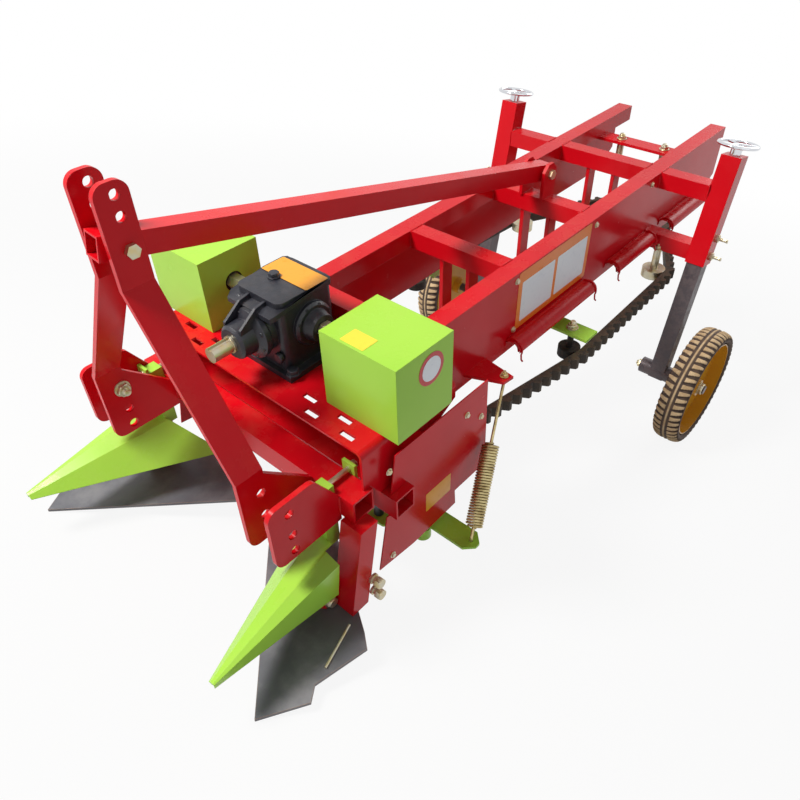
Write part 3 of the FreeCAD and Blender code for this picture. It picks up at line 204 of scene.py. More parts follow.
# ---------------------------------------------------------------- finishes
FIELD_DUST = shade(176, 152, 116)
ORANGE_PEEL = 260.0  # ripples of sprayed paint to a metre


def enamel(name, colour, dark, dust=0.10, edge=1.2e-3):
    """Glossy sprayed enamel: slow changes of tone, orange peel, broken edges, a film of dust."""
    g = Graph(name)
    cloud = g.noise(3.0, 4.0).ramp(0.35, 0.7)
    tone = g.mix(cloud * 0.3, colour, dark)
    film = g.noise(11.0, 5.0, rough=0.65).ramp(0.42, 0.8) * g.upward().ramp(0.1, 0.9)
    speck = g.noise(420.0, 2.0).ramp(0.66, 0.72) * 0.5
    worn = g.edges(edge * 1.5) * g.noise(70.0, 4.0).ramp(0.55, 0.7)
    tone = g.mix(film * dust + speck * dust, tone, FIELD_DUST)
    tone = g.mix(worn * 0.5, tone, shade(92, 74, 66))
    gloss = film * 0.2 + g.noise(24.0, 3.0) * 0.14 + 0.17
    peel = g.bump(g.noise(ORANGE_PEEL, 2.0), 0.10, 0.0006, g.rounded(edge))
    return g.surface(tone, gloss, normal=peel, Coat_Weight=0.04, Coat_Roughness=0.06,
                     Specular_IOR_Level=0.16)


def two_tone(name, colour, dark, below, level):
    """Enamel above a level square to the rails, and dusty black rubber and steel below it."""
    g = Graph(name)
    square = [float(part) for part in TILT[:, 2]]
    height = g.vectors("DOT_PRODUCT", {0: g.place, 1: square}, 1)
    lower = (height - float(HITCH_ORIGIN @ TILT[:, 2]) - level / MM) < 0.0
    cloud = g.noise(9.0, 4.0).ramp(0.35, 0.7)
    paint = g.mix(cloud * 0.3, colour, dark)
    grime = g.mix(g.noise(60.0, 5.0).ramp(0.4, 0.7) * 0.5, below, shade(84, 72, 58))
    peel = g.bump(g.noise(ORANGE_PEEL, 2.0), 0.12, 0.0006, g.rounded(1.2e-3))
    return g.surface(g.mix(lower, paint, grime), lower * 0.4 + 0.25, normal=peel,
                     Specular_IOR_Level=0.25)


def zinc_plate(name):
    """Zinc plating with a yellowish passivated bloom and fine handling marks."""
    g = Graph(name)
    bloom = g.noise(60.0, 3.0).ramp(0.4, 0.65)
    tone = g.mix(bloom * 0.55, shade(196, 190, 168), shade(200, 176, 110))
    gloss = g.noise(180.0, 3.0) * 0.25 + 0.22
    marks = g.bump(g.noise(500.0, 3.0), 0.12, 0.0004, g.rounded(0.6e-3))
    return g.surface(tone, gloss, 0.85, marks)


def spring_wire(name):
    """Drawn spring wire under yellow passivated zinc, stained in patches."""
    g = Graph(name)
    stain = g.noise(38.0, 4.0).ramp(0.35, 0.7)
    tone = g.mix(stain, shade(206, 190, 140), shade(158, 138, 92))
    gloss = g.noise(300.0, 2.0) * 0.2 + 0.24
    return g.surface(tone, gloss, 0.8, g.bump(g.noise(700.0, 2.0), 0.1, 0.0003))


def share_plate(name):
    """Hardened share steel: grey, scratched along the travel, brown at the cutting edges."""
    g = Graph(name)
    scratch = g.noise(90.0, 4.0, g.stretched((14.0, 1.0, 6.0)))
    blotch = g.noise(9.0, 5.0, rough=0.6).ramp(0.4, 0.7)
    tone = g.mix(blotch * 0.7, shade(96, 96, 102), shade(132, 130, 132))
    tone = g.mix(g.edges(4e-3) * 0.8, tone, shade(150, 124, 104))
    gloss = scratch * 0.25 + blotch * 0.1 + 0.34
    grain = g.bump(scratch, 0.2, 0.0005, g.rounded(0.8e-3))
    return g.surface(tone, gloss, 0.45, grain)


def mill_steel(name):
    """Unpainted tube with grey-brown mill scale and long drawn marks."""
    g = Graph(name)
    streak = g.noise(30.0, 4.0, g.stretched((8.0, 8.0, 0.6)))
    scale = g.noise(45.0, 6.0, rough=0.7).ramp(0.4, 0.62)
    tone = g.mix(scale * 0.6, shade(84, 76, 80), shade(112, 100, 100))
    tone = g.mix(g.noise(9.0, 5.0).ramp(0.6, 0.75) * 0.5, tone, shade(122, 94, 76))
    drawn = g.bump(streak, 0.2, 0.0005, g.rounded(1.2e-3))
    return g.surface(tone, scale * 0.2 + 0.36, 0.3, drawn)


def casting(name):
    """Blue-black paint over a sand casting: pebbled, with dull dusty tops."""
    g = Graph(name)
    pebble = g.noise(330.0, 4.0, rough=0.6)
    lump = g.noise(60.0, 3.0)
    tone = g.mix(lump, shade(22, 23, 29), shade(46, 48, 58))
    dust = g.noise(22.0, 5.0, rough=0.65).ramp(0.45, 0.75) * g.upward().ramp(0.0, 0.9)
    tone = g.mix(dust * 0.18, tone, shade(120, 112, 104))
    rough = g.bump(pebble + lump * 2, 0.5, 0.0007, g.rounded(2.0e-3))
    return g.surface(tone, pebble * 0.2 + dust * 0.15 + 0.3, normal=rough)


def dusty_rubber(name):
    """Moulded black rubber under dried soil, most of it on what faces up."""
    g = Graph(name)
    settled = g.upward().ramp(-0.3, 0.8) * 0.7 + 0.3
    soil = g.noise(26.0, 6.0, rough=0.7).ramp(0.3, 0.62) * settled
    grit = g.noise(600.0, 2.0).ramp(0.4, 0.7)
    tone = g.mix(grit * 0.3, shade(36, 31, 28), shade(64, 54, 46))
    tone = g.mix(soil * 0.6, tone, shade(124, 104, 80))
    skin = g.bump(grit + soil, 0.3, 0.0006)
    return g.surface(tone, soil * 0.15 + 0.7, normal=skin)


def tread_rubber(name):
    """Tyre rubber: tan dried soil on the lugs, brown-black in the hollows and on the sidewalls.
    The tread's own attribute says how deep a point lies."""
    g = Graph(name)
    hollow = g.node("ShaderNodeAttribute", {"attribute_name": "hollow"}, out="Fac")
    patch = g.noise(30.0, 6.0, rough=0.7).ramp(0.3, 0.66)
    grit = g.noise(520.0, 3.0)
    soil = g.mix(patch, shade(222, 194, 152), shade(186, 156, 116))
    deep = g.mix(patch, shade(58, 46, 42), shade(92, 74, 62))
    tone = g.mix(hollow.ramp(0.1, 0.55), soil, deep)
    tone = g.mix(grit.ramp(0.5, 0.75) * 0.25, tone, shade(92, 74, 58))
    skin = g.bump(grit + patch, 0.35, 0.0007)
    return g.surface(tone, patch * 0.12 + 0.74, normal=skin)


def bright_chrome(name):
    """Chromed steel with faint haze."""
    g = Graph(name)
    haze = g.noise(40.0, 3.0)
    return g.surface(shade(214, 216, 220), haze * 0.08 + 0.05, 1.0, g.rounded(0.8e-3))


def printed_film(name, colour, worn):
    """Blank printed label film: slightly uneven colour, scuffed, with a soft sheen."""
    g = Graph(name)
    scuff = g.noise(55.0, 5.0, rough=0.7).ramp(0.52, 0.75)
    tone = g.mix(scuff * 0.4, colour, worn)
    ripple = g.bump(g.noise(22.0, 2.0), 0.15, 0.0008)
    return g.surface(tone, scuff * 0.3 + 0.3, normal=ripple)


RED, RED_DARK = shade(218, 12, 28), shade(168, 8, 18)
GREEN, GREEN_DARK = shade(170, 220, 76), shade(142, 200, 56)
RIM, RIM_DARK, RIM_DUST = shade(216, 158, 44), shade(186, 120, 32), 0.35

FINISH = {
    "red_paint": enamel("red_enamel", RED, RED_DARK),
    "green_paint": enamel("green_enamel", GREEN, GREEN_DARK),
    "black_casting": casting("black_casting"),
    "zinc_steel": zinc_plate("zinc_plate"),
    "share_steel": share_plate("share_plate"),
    "leg_steel": mill_steel("mill_steel"),
    "chain_rubber": dusty_rubber("dusty_rubber"),
    "tyre_rubber": tread_rubber("tread_rubber"),
    "rim_paint": enamel("rim_enamel", RIM, RIM_DARK, RIM_DUST),
    "chrome": bright_chrome("bright_chrome"),
}
SPRING_WIRE = spring_wire("spring_wire")
IDLER_PAINT_EDGE = -61    # just under the shelf of the idler brackets
IDLER = two_tone("idler_finish", GREEN, GREEN_DARK, shade(30, 27, 26), IDLER_PAINT_EDGE)

for part in frame["record"]["subparts"]:
    node = frame["nodes"][part["node"]]
    node.data.materials.clear()
    node.data.materials.append(IDLER if "idler" in node.name else FINISH[part["material_slot"]])

# ---------------------------------------------------------------- surfaces
TURNED_COLUMNS = 24
HEX_STEP = math.pi / 3
THREAD_PITCH, THREAD_DEPTH = 0.9, 0.5


def grid(points, closed_rows=False, caps=True):
    """Rows of points, each row a closed ring, joined by four-cornered faces. caps closes both
    ends."""
    rows, columns = points.shape[:2]
    index = np.arange(rows * columns).reshape(rows, columns)
    rings = np.vstack([index, index[:1]]) if closed_rows else index
    rings = np.hstack([rings, rings[:, :1]])
    quads = np.stack([rings[:-1, :-1], rings[:-1, 1:], rings[1:, 1:], rings[1:, :-1]], -1)
    faces = [quads.reshape(-1, 4)]
    if caps and not closed_rows:
        faces += [index[:1, ::-1], index[-1:]]
    return points.reshape(-1, 3), faces


def joined(surfaces):
    """Several surfaces as one, their points and faces in a row."""
    points, faces, count = [], [], 0
    for own, kinds in surfaces:
        faces += [kind + count for kind in kinds]
        points.append(own)
        count += len(own)
    return np.concatenate(points), faces


def in_metres(surface):
    """A surface laid out in upright millimetres, divided down to metres."""
    points, faces = surface
    return points / MM, faces


def turned(rows, columns=TURNED_COLUMNS):
    """A turned shape about Z. Each row is (radius, height, hexagon share): the radius grows by
    1 / cos of the angle from the nearest flat, by that share."""
    rows = np.asarray(rows, float)
    angle = np.arange(columns) * 2 * math.pi / columns
    flat = 1 / np.cos((angle + HEX_STEP / 2) % HEX_STEP - HEX_STEP / 2)
    reach = rows[:, :1] * (1 + rows[:, 2:] * (flat - 1))
    height = np.broadcast_to(rows[:, 1:2], reach.shape)
    return grid(np.stack([reach * np.cos(angle), reach * np.sin(angle), height], -1))


def placed(surface, centre, axis):
    """A surface made about Z, turned so that Z is axis and moved to centre."""
    axis = np.asarray(axis, float) / np.linalg.norm(axis)
    other = np.eye(3)[np.argmin(np.abs(axis))]
    side = np.cross(other, axis)
    side /= np.linalg.norm(side)
    points, faces = surface
    return points @ np.stack([side, np.cross(axis, side), axis]) + centre, faces


def bar(path, radius, reference=(0, 0, 1), columns=12):
    """A round bar: a circle carried along path, square to it. The reference gives its start, and
    both may change from point to point."""
    path = np.asarray(path, float)
    along = np.gradient(path, axis=0)
    along /= np.linalg.norm(along, axis=1, keepdims=True)
    side = np.cross(along, np.broadcast_to(reference, path.shape))
    side /= np.linalg.norm(side, axis=1, keepdims=True)
    up = np.cross(side, along)
    angle = np.arange(columns)[:, None] * 2 * math.pi / columns
    ring = side[:, None] * np.cos(angle) + up[:, None] * np.sin(angle)
    return grid(path[:, None] + ring * np.broadcast_to(radius, len(path))[:, None, None])


def rounded_outline(angle, power):
    """The points of |x|^n + |y|^n = 1 at an angle, n being 2 / power: the cosine and the sine,
    each with its sign kept and its size raised to power."""
    across, up = np.cos(angle), np.sin(angle)
    return np.sign(across) * np.abs(across) ** power, np.sign(up) * np.abs(up) ** power


def card(centre, across, up, size, thick, square, columns=48):
    """A thin plate: the outline |x|^n + |y|^n = 1 with n = square, scaled to size, drawn at two
    depths."""
    x, y = rounded_outline(np.arange(columns) * 2 * math.pi / columns, 2 / square)
    across, up = np.asarray(across, float), np.asarray(up, float)
    outline = (x * size[0] / 2)[:, None] * across + (y * size[1] / 2)[:, None] * up
    out = np.cross(across, up) * thick
    return grid(np.stack([outline, outline + out]) + np.asarray(centre, float))


def hexagon_head(flats, rise, washer=0.0, washer_thick=2.5, stud=0.0, stud_rise=0.0):
    """A hexagon head or nut, turned, on its round washer. Where there is a stud its end stands
    out, and its radius steps in and out once a turn of the thread."""
    half, level, rows = flats / 2, 0.0, []
    if washer:
        rows += [(washer, 0, 0), (washer, washer_thick, 0)]
        level = washer_thick
    rows += [(half, level, 1), (half, level + rise * 0.84, 1), (half * 0.97, level + rise, 0)]
    if stud:
        level += rise
        rows += [(stud * 0.9, level, 0)]
        rows += [(stud - THREAD_DEPTH * (k % 2), level + 0.4 + height, 0)
                 for k, height in enumerate(np.arange(0, stud_rise, THREAD_PITCH))]
        rows += [(stud * 0.8, level + stud_rise + 0.8, 0)]
    return turned(rows)


def weld(start, end, size=3.0, ripple=3.0):
    """A weld bead: a bar whose radius swells once a ripple and dies away at both ends."""
    start, end = np.asarray(start, float), np.asarray(end, float)
    length = np.linalg.norm(end - start)
    share = np.linspace(0, 1, max(8, int(length / ripple * 4)))
    swell = 0.8 + 0.2 * np.abs(np.sin(share * length / ripple * math.pi))
    taper = np.clip(np.minimum(share, 1 - share) * length / size, 0.15, 1) ** 0.5
    axis = (end - start) / length
    return bar(start + share[:, None] * (end - start), size * swell * taper, np.roll(axis, 1), 8)


def add_piece(name, surface, body="frame", slot="zinc_steel", finish=None, replaced=(),
              hollow=None, angle=35.0, standing=True):
    """Makes one object at the origin from a surface, riding on body. Its points are in
    millimetres along the rails, or already in metres when standing is off. The finish is the
    slot's own unless another is given. Edges sharper than angle stay sharp."""
    points, faces = surface
    points = stand(points) if standing else points
    mesh = bpy.data.meshes.new(name)
    mesh.from_pydata(points.tolist(), [], [face for kind in faces for face in kind.tolist()])
    outward = bmesh.new()
    outward.from_mesh(mesh)
    bmesh.ops.recalc_face_normals(outward, faces=outward.faces)
    outward.to_mesh(mesh)
    outward.free()
    mesh.polygons.foreach_set("use_smooth", np.ones(len(mesh.polygons), bool))
    mesh.set_sharp_from_angle(angle=math.radians(angle))
    if hollow is not None:
        mesh.attributes.new("hollow", "FLOAT", "POINT").data.foreach_set("value", hollow.ravel())
    mesh.materials.append(finish or FINISH[slot])
    piece = bpy.data.objects.new(name, mesh)
    bpy.context.scene.collection.objects.link(piece)
    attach(piece, body)
    if replaced:
        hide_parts(*replaced)


# ---------------------------------------------------------------- tyres
LUGS, LUG_STEPS, SECTION_STEPS = 52, 10, 96
TYRE_SEAT = 0.1653        # radius at which the tyre meets the rim
TYRE_CORNER = 3.4         # power of the section's superellipse
CROWN = 0.0035            # how far the shoulders fall below the middle
LUG_SHIFT = 0.35          # how far a groove leans towards the shoulder, in lugs
LUG_DEPTH, RING_DEPTH, RING_PLACE = 0.0075, 0.0035, 0.008


def smooth_step(low, high, value):
    """0 below low and 1 above high. Between them, with s the share of the way, 3 s^2 - 2 s^3."""
    share = np.clip((value - low) / (high - low), 0, 1)
    return share * share * (3 - 2 * share)


def tyre_tread(side):
    """A tyre as a function of the turn about its axle and of the turn round its section.
    The section is a superellipse. Rows of lugs are cut out of it: a groove lies where the turn,
    counted in lugs and shifted by half a lug between the two shoulders, is near a whole number.
    Grooves widen towards the shoulder and end on the sidewall. Two thin grooves run all round."""
    low, high = (np.array(corner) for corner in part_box(side + "_tyre"))
    middle, half = (low + high) / 2, (high - low) / 2
    outer, width = half[1] - 0.0002, half[0] - 0.0004
    centre, height = (outer + TYRE_SEAT) / 2, (outer - TYRE_SEAT) / 2
    turn = np.arange(LUGS * LUG_STEPS)[:, None] * 2 * math.pi / (LUGS * LUG_STEPS)
    sweep = np.arange(SECTION_STEPS)[None] * 2 * math.pi / SECTION_STEPS
    x, rise = rounded_outline(sweep, 2 / TYRE_CORNER)
    x, rise = width * x, height * rise
    radius = centre + rise - CROWN * (x / width) ** 2 * (rise > 0)
    share = np.abs(x) / width
    count = turn / (2 * math.pi) * LUGS + 0.5 * (x > 0) + LUG_SHIFT * share
    near = np.abs(count - np.round(count))
    opening = 0.13 + 0.17 * share ** 1.5
    groove = 1 - smooth_step(opening - 0.05, opening + 0.05, near)
    ring = 1 - smooth_step(0.0009, 0.0026, np.abs(np.abs(x) - RING_PLACE))
    band = smooth_step(0.007, 0.010, np.abs(x))
    shoulder = smooth_step(TYRE_SEAT + 0.011, outer - 0.009, radius)
    depth = np.maximum(groove * band * LUG_DEPTH, ring * RING_DEPTH) * shoulder
    radius = radius - depth * (rise > 0)
    x = x * (1 - 0.09 * groove * shoulder * smooth_step(0.6, 0.95, share))
    sidewall = 1 - smooth_step(0.72, 1.0, shoulder)
    hollow = np.maximum(np.maximum(groove * band, ring), sidewall)
    points = np.stack([x, radius * np.cos(turn), radius * np.sin(turn)], -1) + middle
    add_piece(side + "_tread", grid(points, closed_rows=True), side + "_wheel", "tyre_rubber",
              replaced=[side + "_tyre"], hollow=hollow, angle=60.0, standing=False)


for side, _ in SIDES:
    tyre_tread(side)

# ---------------------------------------------------------------- tension spring
SPRING_HEAD, SPRING_TOP = np.array([283.0, 540, 14]), np.array([283.0, 540, -26])
SPRING_FOOT, SPRING_TAIL = np.array([394.0, 281, -290]), np.array([394.0, 281, -320])
COIL_TURNS, COIL_STEPS, COIL_START, COIL_LENGTH = 31, 22, 23, 212.0
COIL_RADIUS, WIRE_RADIUS, ROD_RADIUS = 19.2, 3.1, 4
SPRING_NUT_DROP = 15.4


def coil_spring():
    """Close-wound coil: a helix about the line from foot to top, its radius drawn in over one turn
    at each end. A straight rod with a hook leaves it at both ends."""
    course = SPRING_TOP - SPRING_FOOT
    course /= np.linalg.norm(course)
    side = np.cross(course, (0, 0, 1))
    side /= np.linalg.norm(side)
    other = np.cross(course, side)
    share = np.linspace(0, 1, COIL_TURNS * COIL_STEPS)
    angle = share * COIL_TURNS * 2 * math.pi
    ends = np.minimum(share, 1 - share) * COIL_TURNS
    draw = COIL_RADIUS * (0.25 + 0.75 * smooth_step(0, 0.9, ends))
    outward = np.cos(angle)[:, None] * side + np.sin(angle)[:, None] * other
    line = SPRING_FOOT + course * (COIL_START + share[:, None] * COIL_LENGTH)
    coil = bar(line + outward * draw[:, None], WIRE_RADIUS, outward, 8)
    low_end = SPRING_FOOT + course * (COIL_START + 1)
    high_end = low_end + course * COIL_LENGTH
    rods = [bar(path, ROD_RADIUS, side) for path in (
        [SPRING_TOP, high_end],
        [low_end, SPRING_FOOT],
        [SPRING_FOOT + course * 4, SPRING_FOOT, SPRING_TAIL],
        [SPRING_HEAD, SPRING_TOP, SPRING_TOP - course * 3])]
    nut = hexagon_head(16, 7, 11, 1.5, 4, 6)
    nut = placed(nut, SPRING_HEAD - (0, 0, SPRING_NUT_DROP), (0, 0, 1))
    add_piece("tension_coil", joined([coil, *rods, nut]), finish=SPRING_WIRE,
              replaced=["tension_spring"])


coil_spring()

# ---------------------------------------------------------------- bolts, nuts and screws
# Width over flats, height and washer radius. Places are (y, z) unless they have three numbers.
PANEL_SCREW, M12, M16, M20 = (11, 4.5, 8.5), (19, 7.5, 14), (24, 10, 17), (30, 12.5, 20)
M12_NUT, AXLE_NUT = (19, 10, 14), (34, 12, 21)
SLEEVE_TOP = {side: stand((sign * 385, 1515, 264)) * MM for side, sign in SIDES}
SLEEVE_HALF, CLAMP_SCREW_DROPS = 30.0, (238, 296)
MAST_MIDDLE = -87.0       # the masts, the gearbox and the shanks are set out from here
CLAMP_MIDDLES, CLAMP_LEVELS, CLAMP_FRONT, CLAMP_REAR = (219.0, -393.0), (12.0, -72.0), -44, 68
SHANK_REACH, SHANK_EAR_BOLT, SHANK_SCREWS = 377, (-70, -288), ((10, -232), (10, -274))
SHARE_ROD_FRONT, SHARE_ROD_REAR, SHARE_ROD_RADIUS = (73, -186, -301.6), (40, -80, -301.6), 3.2
STRUT_FRONT, STRUT_REAR = (-90, -141, 524), (-18, 1102, 255)
FAR_MAST_BOLT = (-128, 58)
PANEL_FACE, LEFT_SHIELD_FACE, RIGHT_SHIELD_FACE = 203, 303, -477
PANEL_SCREWS = ((688, 166), (1075, 166), (690, 20), (1411, 166), (1833, -14), (330, 166))
SHIELD_SCREWS = ((363, 3), (96, 30), (96, -250), (420, -40))
IDLER_NUTS = ((272, 890, -52), (-302, 890, -52))
ROLLER_NUT, SPROCKET_NUT = (258, 1440, -45), (80, 1760, 137)
GUARD_MIDDLE, GUARD_LEVEL, GUARD_RADIUS, GUARD_WALL = 227.0, -14.0, 24.6, 1.6
GUARD_SPANS = ((657, 1048), (1174, 1428), (1532, 1849))
CLIP_RADIUS = 26.4


def hub_point(side, out):
    """A point on a wheel's axle, out millimetres outward from the leg's middle: the leg's x and
    the middle of the rim's box."""
    low, high = (np.array(corner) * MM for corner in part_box(side + "_rim"))
    return np.array([SLEEVE_TOP[side][0] + dict(SIDES)[side] * out, *((low + high) / 2)[1:]])


def clamp_fasteners():
    """Each divider clamp's two rods: a round bar with a head at the front and a nut behind."""
    made = []
    for middle in CLAMP_MIDDLES:
        for level in CLAMP_LEVELS:
            front, rear = (middle, CLAMP_FRONT, level), (middle, CLAMP_REAR, level)
            made.append(placed(hexagon_head(*M12), front, (0, -1, 0)))
            made.append(placed(hexagon_head(*M12_NUT), rear, (0, 1, 0)))
            ends = [(middle, CLAMP_FRONT - 13, level), (middle, CLAMP_REAR + 13, level)]
            made.append(bar(ends, 6.3, columns=16))
    add_piece("clamp_fasteners", joined(made))


def share_fasteners():
    """One bolt through each shank's ear, a thin round rod on each share, and two long screws on
    each shank's outer face, turned with a round collar and a hexagon end."""
    screw = turned([(13, 0, 0), (13, 6, 0), (9.5, 6, 0), (9.5, 14, 0),
                    (12, 14, 1), (12, 27, 1), (11.4, 29, 0)])
    made = []
    for _, sign in SIDES:
        middle = MAST_MIDDLE + sign * SHANK_REACH
        for inward, way in ((36, -sign), (30, sign)):
            ear = (middle - sign * inward, *SHANK_EAR_BOLT)
            made.append(placed(hexagon_head(*M16, 3), ear, (way, 0, 0)))
        rod = [(middle + sign * out, line, level)
               for out, line, level in (SHARE_ROD_REAR, SHARE_ROD_FRONT)]
        made.append(bar(rod, SHARE_ROD_RADIUS, columns=10))
        for place in SHANK_SCREWS:
            made.append(placed(screw, (middle + sign * 30, *place), (sign, 0, 0)))
    add_piece("share_bolts", joined(made))


def strut_washers():
    """Turned washers where the strut's bolts leave the masts and the rear ears."""
    washer = turned([(19, 0, 0), (19, 2.6, 0)])
    made = []
    for _, sign in SIDES:
        for (middle, *place), half in ((STRUT_FRONT, 45.6), (STRUT_REAR, 40.1)):
            made.append(placed(washer, (middle + sign * half, *place), (sign, 0, 0)))
    add_piece("strut_washers", joined(made))


def hitch_bolt():
    """The bolt kept in the far mast's upper bore: a head on one side, a nut and stud's end on the
    other."""
    made = [placed(hexagon_head(*M20, 3), (-343, *FAR_MAST_BOLT), (-1, 0, 0)),
            placed(hexagon_head(*M20, 3, 9, 10), (-331, *FAR_MAST_BOLT), (1, 0, 0))]
    add_piece("hitch_bolt", joined(made))


def frame_screws():
    """Small hexagon screws of the panels and shields, and the nuts of the idler brackets, side
    rollers and rear sprockets."""
    screw = hexagon_head(*PANEL_SCREW, 1.2)
    made = []
    for place in PANEL_SCREWS:
        for _, sign in SIDES:
            made.append(placed(screw, (sign * PANEL_FACE, *place), (sign, 0, 0)))
    for place in SHIELD_SCREWS:
        made.append(placed(screw, (LEFT_SHIELD_FACE, *place), (1, 0, 0)))
        made.append(placed(screw, (RIGHT_SHIELD_FACE, *place), (-1, 0, 0)))
    for place in IDLER_NUTS:
        made.append(placed(hexagon_head(*M16, 3, 8, 9), place, (0, 0, 1)))
    for _, sign in SIDES:
        for out, *place in (ROLLER_NUT, SPROCKET_NUT):
            made.append(placed(hexagon_head(*M16, 3, 8, 6), (sign * out, *place), (0, 0, 1)))
    add_piece("frame_screws", joined(made))


def leg_fasteners(side, sign):
    """Two clamp screws on the sleeve, each a turned hexagon and shank with a round cross bar, and
    the nuts at both ends of the wheel's axle."""
    screw = turned([(11, 0, 1), (11, 8, 1), (5, 8, 0), (5, 34, 0)])
    made = []
    for drop in CLAMP_SCREW_DROPS:
        foot = SLEEVE_TOP[side] + (sign * SLEEVE_HALF, 6, -drop)
        made.append(placed(screw, foot, (sign, 0, 0)))
        made.append(bar([foot + (sign * 29, -14, 7), foot + (sign * 29, 14, -7)], 3.4))
    add_piece(side + "_leg_screws", in_metres(joined(made)), standing=False)
    inner = placed(hexagon_head(*M16, 3, 8, 5), hub_point(side, -64.0), (-sign, 0, 0))
    outer = placed(hexagon_head(*AXLE_NUT), hub_point(side, 143.0), (sign, 0, 0))
    add_piece(side + "_axle_nut", in_metres(joined([inner, outer])), side + "_leg",
              standing=False)


def guards(side, sign):
    """Half-round pipe guards along the panel's lower edge: an arc of 188 degrees drawn along the
    panel, with its wall's thickness. A wire clip near each end is a round bar carried along a
    wider arc with a straight tail."""
    turn = np.radians(np.linspace(-4, 184, 26))
    arc = np.stack([np.cos(turn), 0 * turn, np.sin(turn)], -1)
    section = np.concatenate([arc * GUARD_RADIUS, arc[::-1] * (GUARD_RADIUS - GUARD_WALL)])
    section += (GUARD_MIDDLE, 0, GUARD_LEVEL)
    turn = np.radians(np.linspace(-24, 170, 30))
    ring = np.stack([GUARD_MIDDLE + CLIP_RADIUS * np.cos(turn), 0 * turn,
                     GUARD_LEVEL + CLIP_RADIUS * np.sin(turn)], -1)
    tail = [(GUARD_MIDDLE + 31, 0, GUARD_LEVEL - 30), (GUARD_MIDDLE + 26, 0, GUARD_LEVEL - 26)]
    wire = np.concatenate([tail, ring]) * (sign, 1, 1)
    made = []
    for front, rear in GUARD_SPANS:
        lines = np.array([front - 1.0, front, rear, rear + 1])[:, None, None]
        made.append(grid((section[None] + lines * (0, 1, 0)) * (sign, 1, 1)))
        for line in (front + 7, rear - 7):
            made.append(bar(wire + (0, line, 0), 2.4, (0, 1, 0), 8))
    add_piece(side + "_guards", joined(made), slot="red_paint")


def hub_cover(side, sign):
    """The turned hub cover in the middle of the rim."""
    rows = [(46, 0, 0), (46, 3, 0), (36, 6, 0), (31, 16, 0), (29, 23.2, 0), (28.4, 24.2, 0),
            (23, 24.2, 0)]
    cover = placed(turned(rows, 40), hub_point(side, 118.4), (sign, 0, 0))
    add_piece(side + "_hub", in_metres(cover), side + "_wheel", "rim_paint", standing=False)


clamp_fasteners()
for side, sign in SIDES:
    guards(side, sign)
for side, sign in SIDES:
    hub_cover(side, sign)
share_fasteners()
strut_washers()
hitch_bolt()
frame_screws()
for side, sign in SIDES:
    leg_fasteners(side, sign)

# ---------------------------------------------------------------- gearbox castings
GEARBOX_TOP, SHAFT_LEVEL, SHAFT_LINE = 292.0, 209, 200
FRONT_FACE, FRONT_CIRCLE, FLANK_REACH, FLANK_CIRCLE = 84, 50, 80, 44
FOOT_REACH, FOOT_LINES, FOOT_LEVEL = 84, (122, 262), 118
ROOF_THICK, RIB_HALF = 12, 3.5
ROOF_OUTLINE = ((70, 92, -22), (78, 110, -14), (78, 205, 0), (78, 262, 0), (70, 270, 0))
RIB_OUTLINE = ((0, 43, 234), (0, 43, 248), (0, 52, 254), (0, 90, 281), (0, 118, 286), (0, 118, 234))


def gearbox_castings():
    """The roof plate, whose outline falls at the front and is drawn at two levels; two cast ribs,
    an outline drawn at two sides; turned bosses at the corners of the front; the filler plug."""
    half = np.array(ROOF_OUTLINE)
    outline = np.concatenate([half, half[::-1] * (-1, 1, 1)])
    roof = np.stack([outline, outline + (0, 0, ROOF_THICK)])
    made = [grid(roof + (MAST_MIDDLE, 0, GEARBOX_TOP - 11.5))]
    for sign in (-1, 1):
        rib = np.array(RIB_OUTLINE) + (MAST_MIDDLE + sign * 26, 0, 0)
        made.append(grid(np.stack([rib - (RIB_HALF, 0, 0), rib + (RIB_HALF, 0, 0)])))
    boss = turned([(13, 0, 0), (13, 7, 0), (11, 9, 0)])
    for sign in (-1, 1):
        for level in (262, 152):
            made.append(placed(boss, (MAST_MIDDLE + sign * 54, 116, level), (0, -1, 0)))
    plug = (MAST_MIDDLE - 24, 190, GEARBOX_TOP + 0.4)
    made.append(placed(hexagon_head(22, 9, 15, 3), plug, (0, 0, 1)))
    add_piece("gearbox_details", joined(made), slot="black_casting", angle=25)


def gearbox_screws():
    """Eight cap screws on a circle round each shaft's flange, and the four foot bolts."""
    screw = hexagon_head(11, 5.5)
    made = []
    for turn in np.arange(8) * math.pi / 4 + 0.39:
        front = (MAST_MIDDLE + FRONT_CIRCLE * math.cos(turn), FRONT_FACE,
                 SHAFT_LEVEL + FRONT_CIRCLE * math.sin(turn))
        made.append(placed(screw, front, (0, -1, 0)))
        for sign in (-1, 1):
            flank = (MAST_MIDDLE + sign * FLANK_REACH, SHAFT_LINE + FLANK_CIRCLE * math.cos(turn),
                     SHAFT_LEVEL + FLANK_CIRCLE * math.sin(turn))
            made.append(placed(screw, flank, (sign, 0, 0)))
    for sign in (-1, 1):
        for line in FOOT_LINES:
            foot = (MAST_MIDDLE + sign * FOOT_REACH, line, FOOT_LEVEL)
            made.append(placed(hexagon_head(*M16), foot, (0, 0, 1)))
    add_piece("gearbox_screws", joined(made), slot="black_casting")


gearbox_castings()
gearbox_screws()

# ---------------------------------------------------------------- welds
CROSS_LINES, CROSS_END, TUBE_HALF = (331, 716.5, 1102, 1487.5), 150, 25
RAIL_TOP, BEAD_FOOT, OUTRIGGER_END = 187, 138, 355
PLATE_REACHES, PLATE_HALF = (250, 332), 6     # a mast's foot and a hitch plate


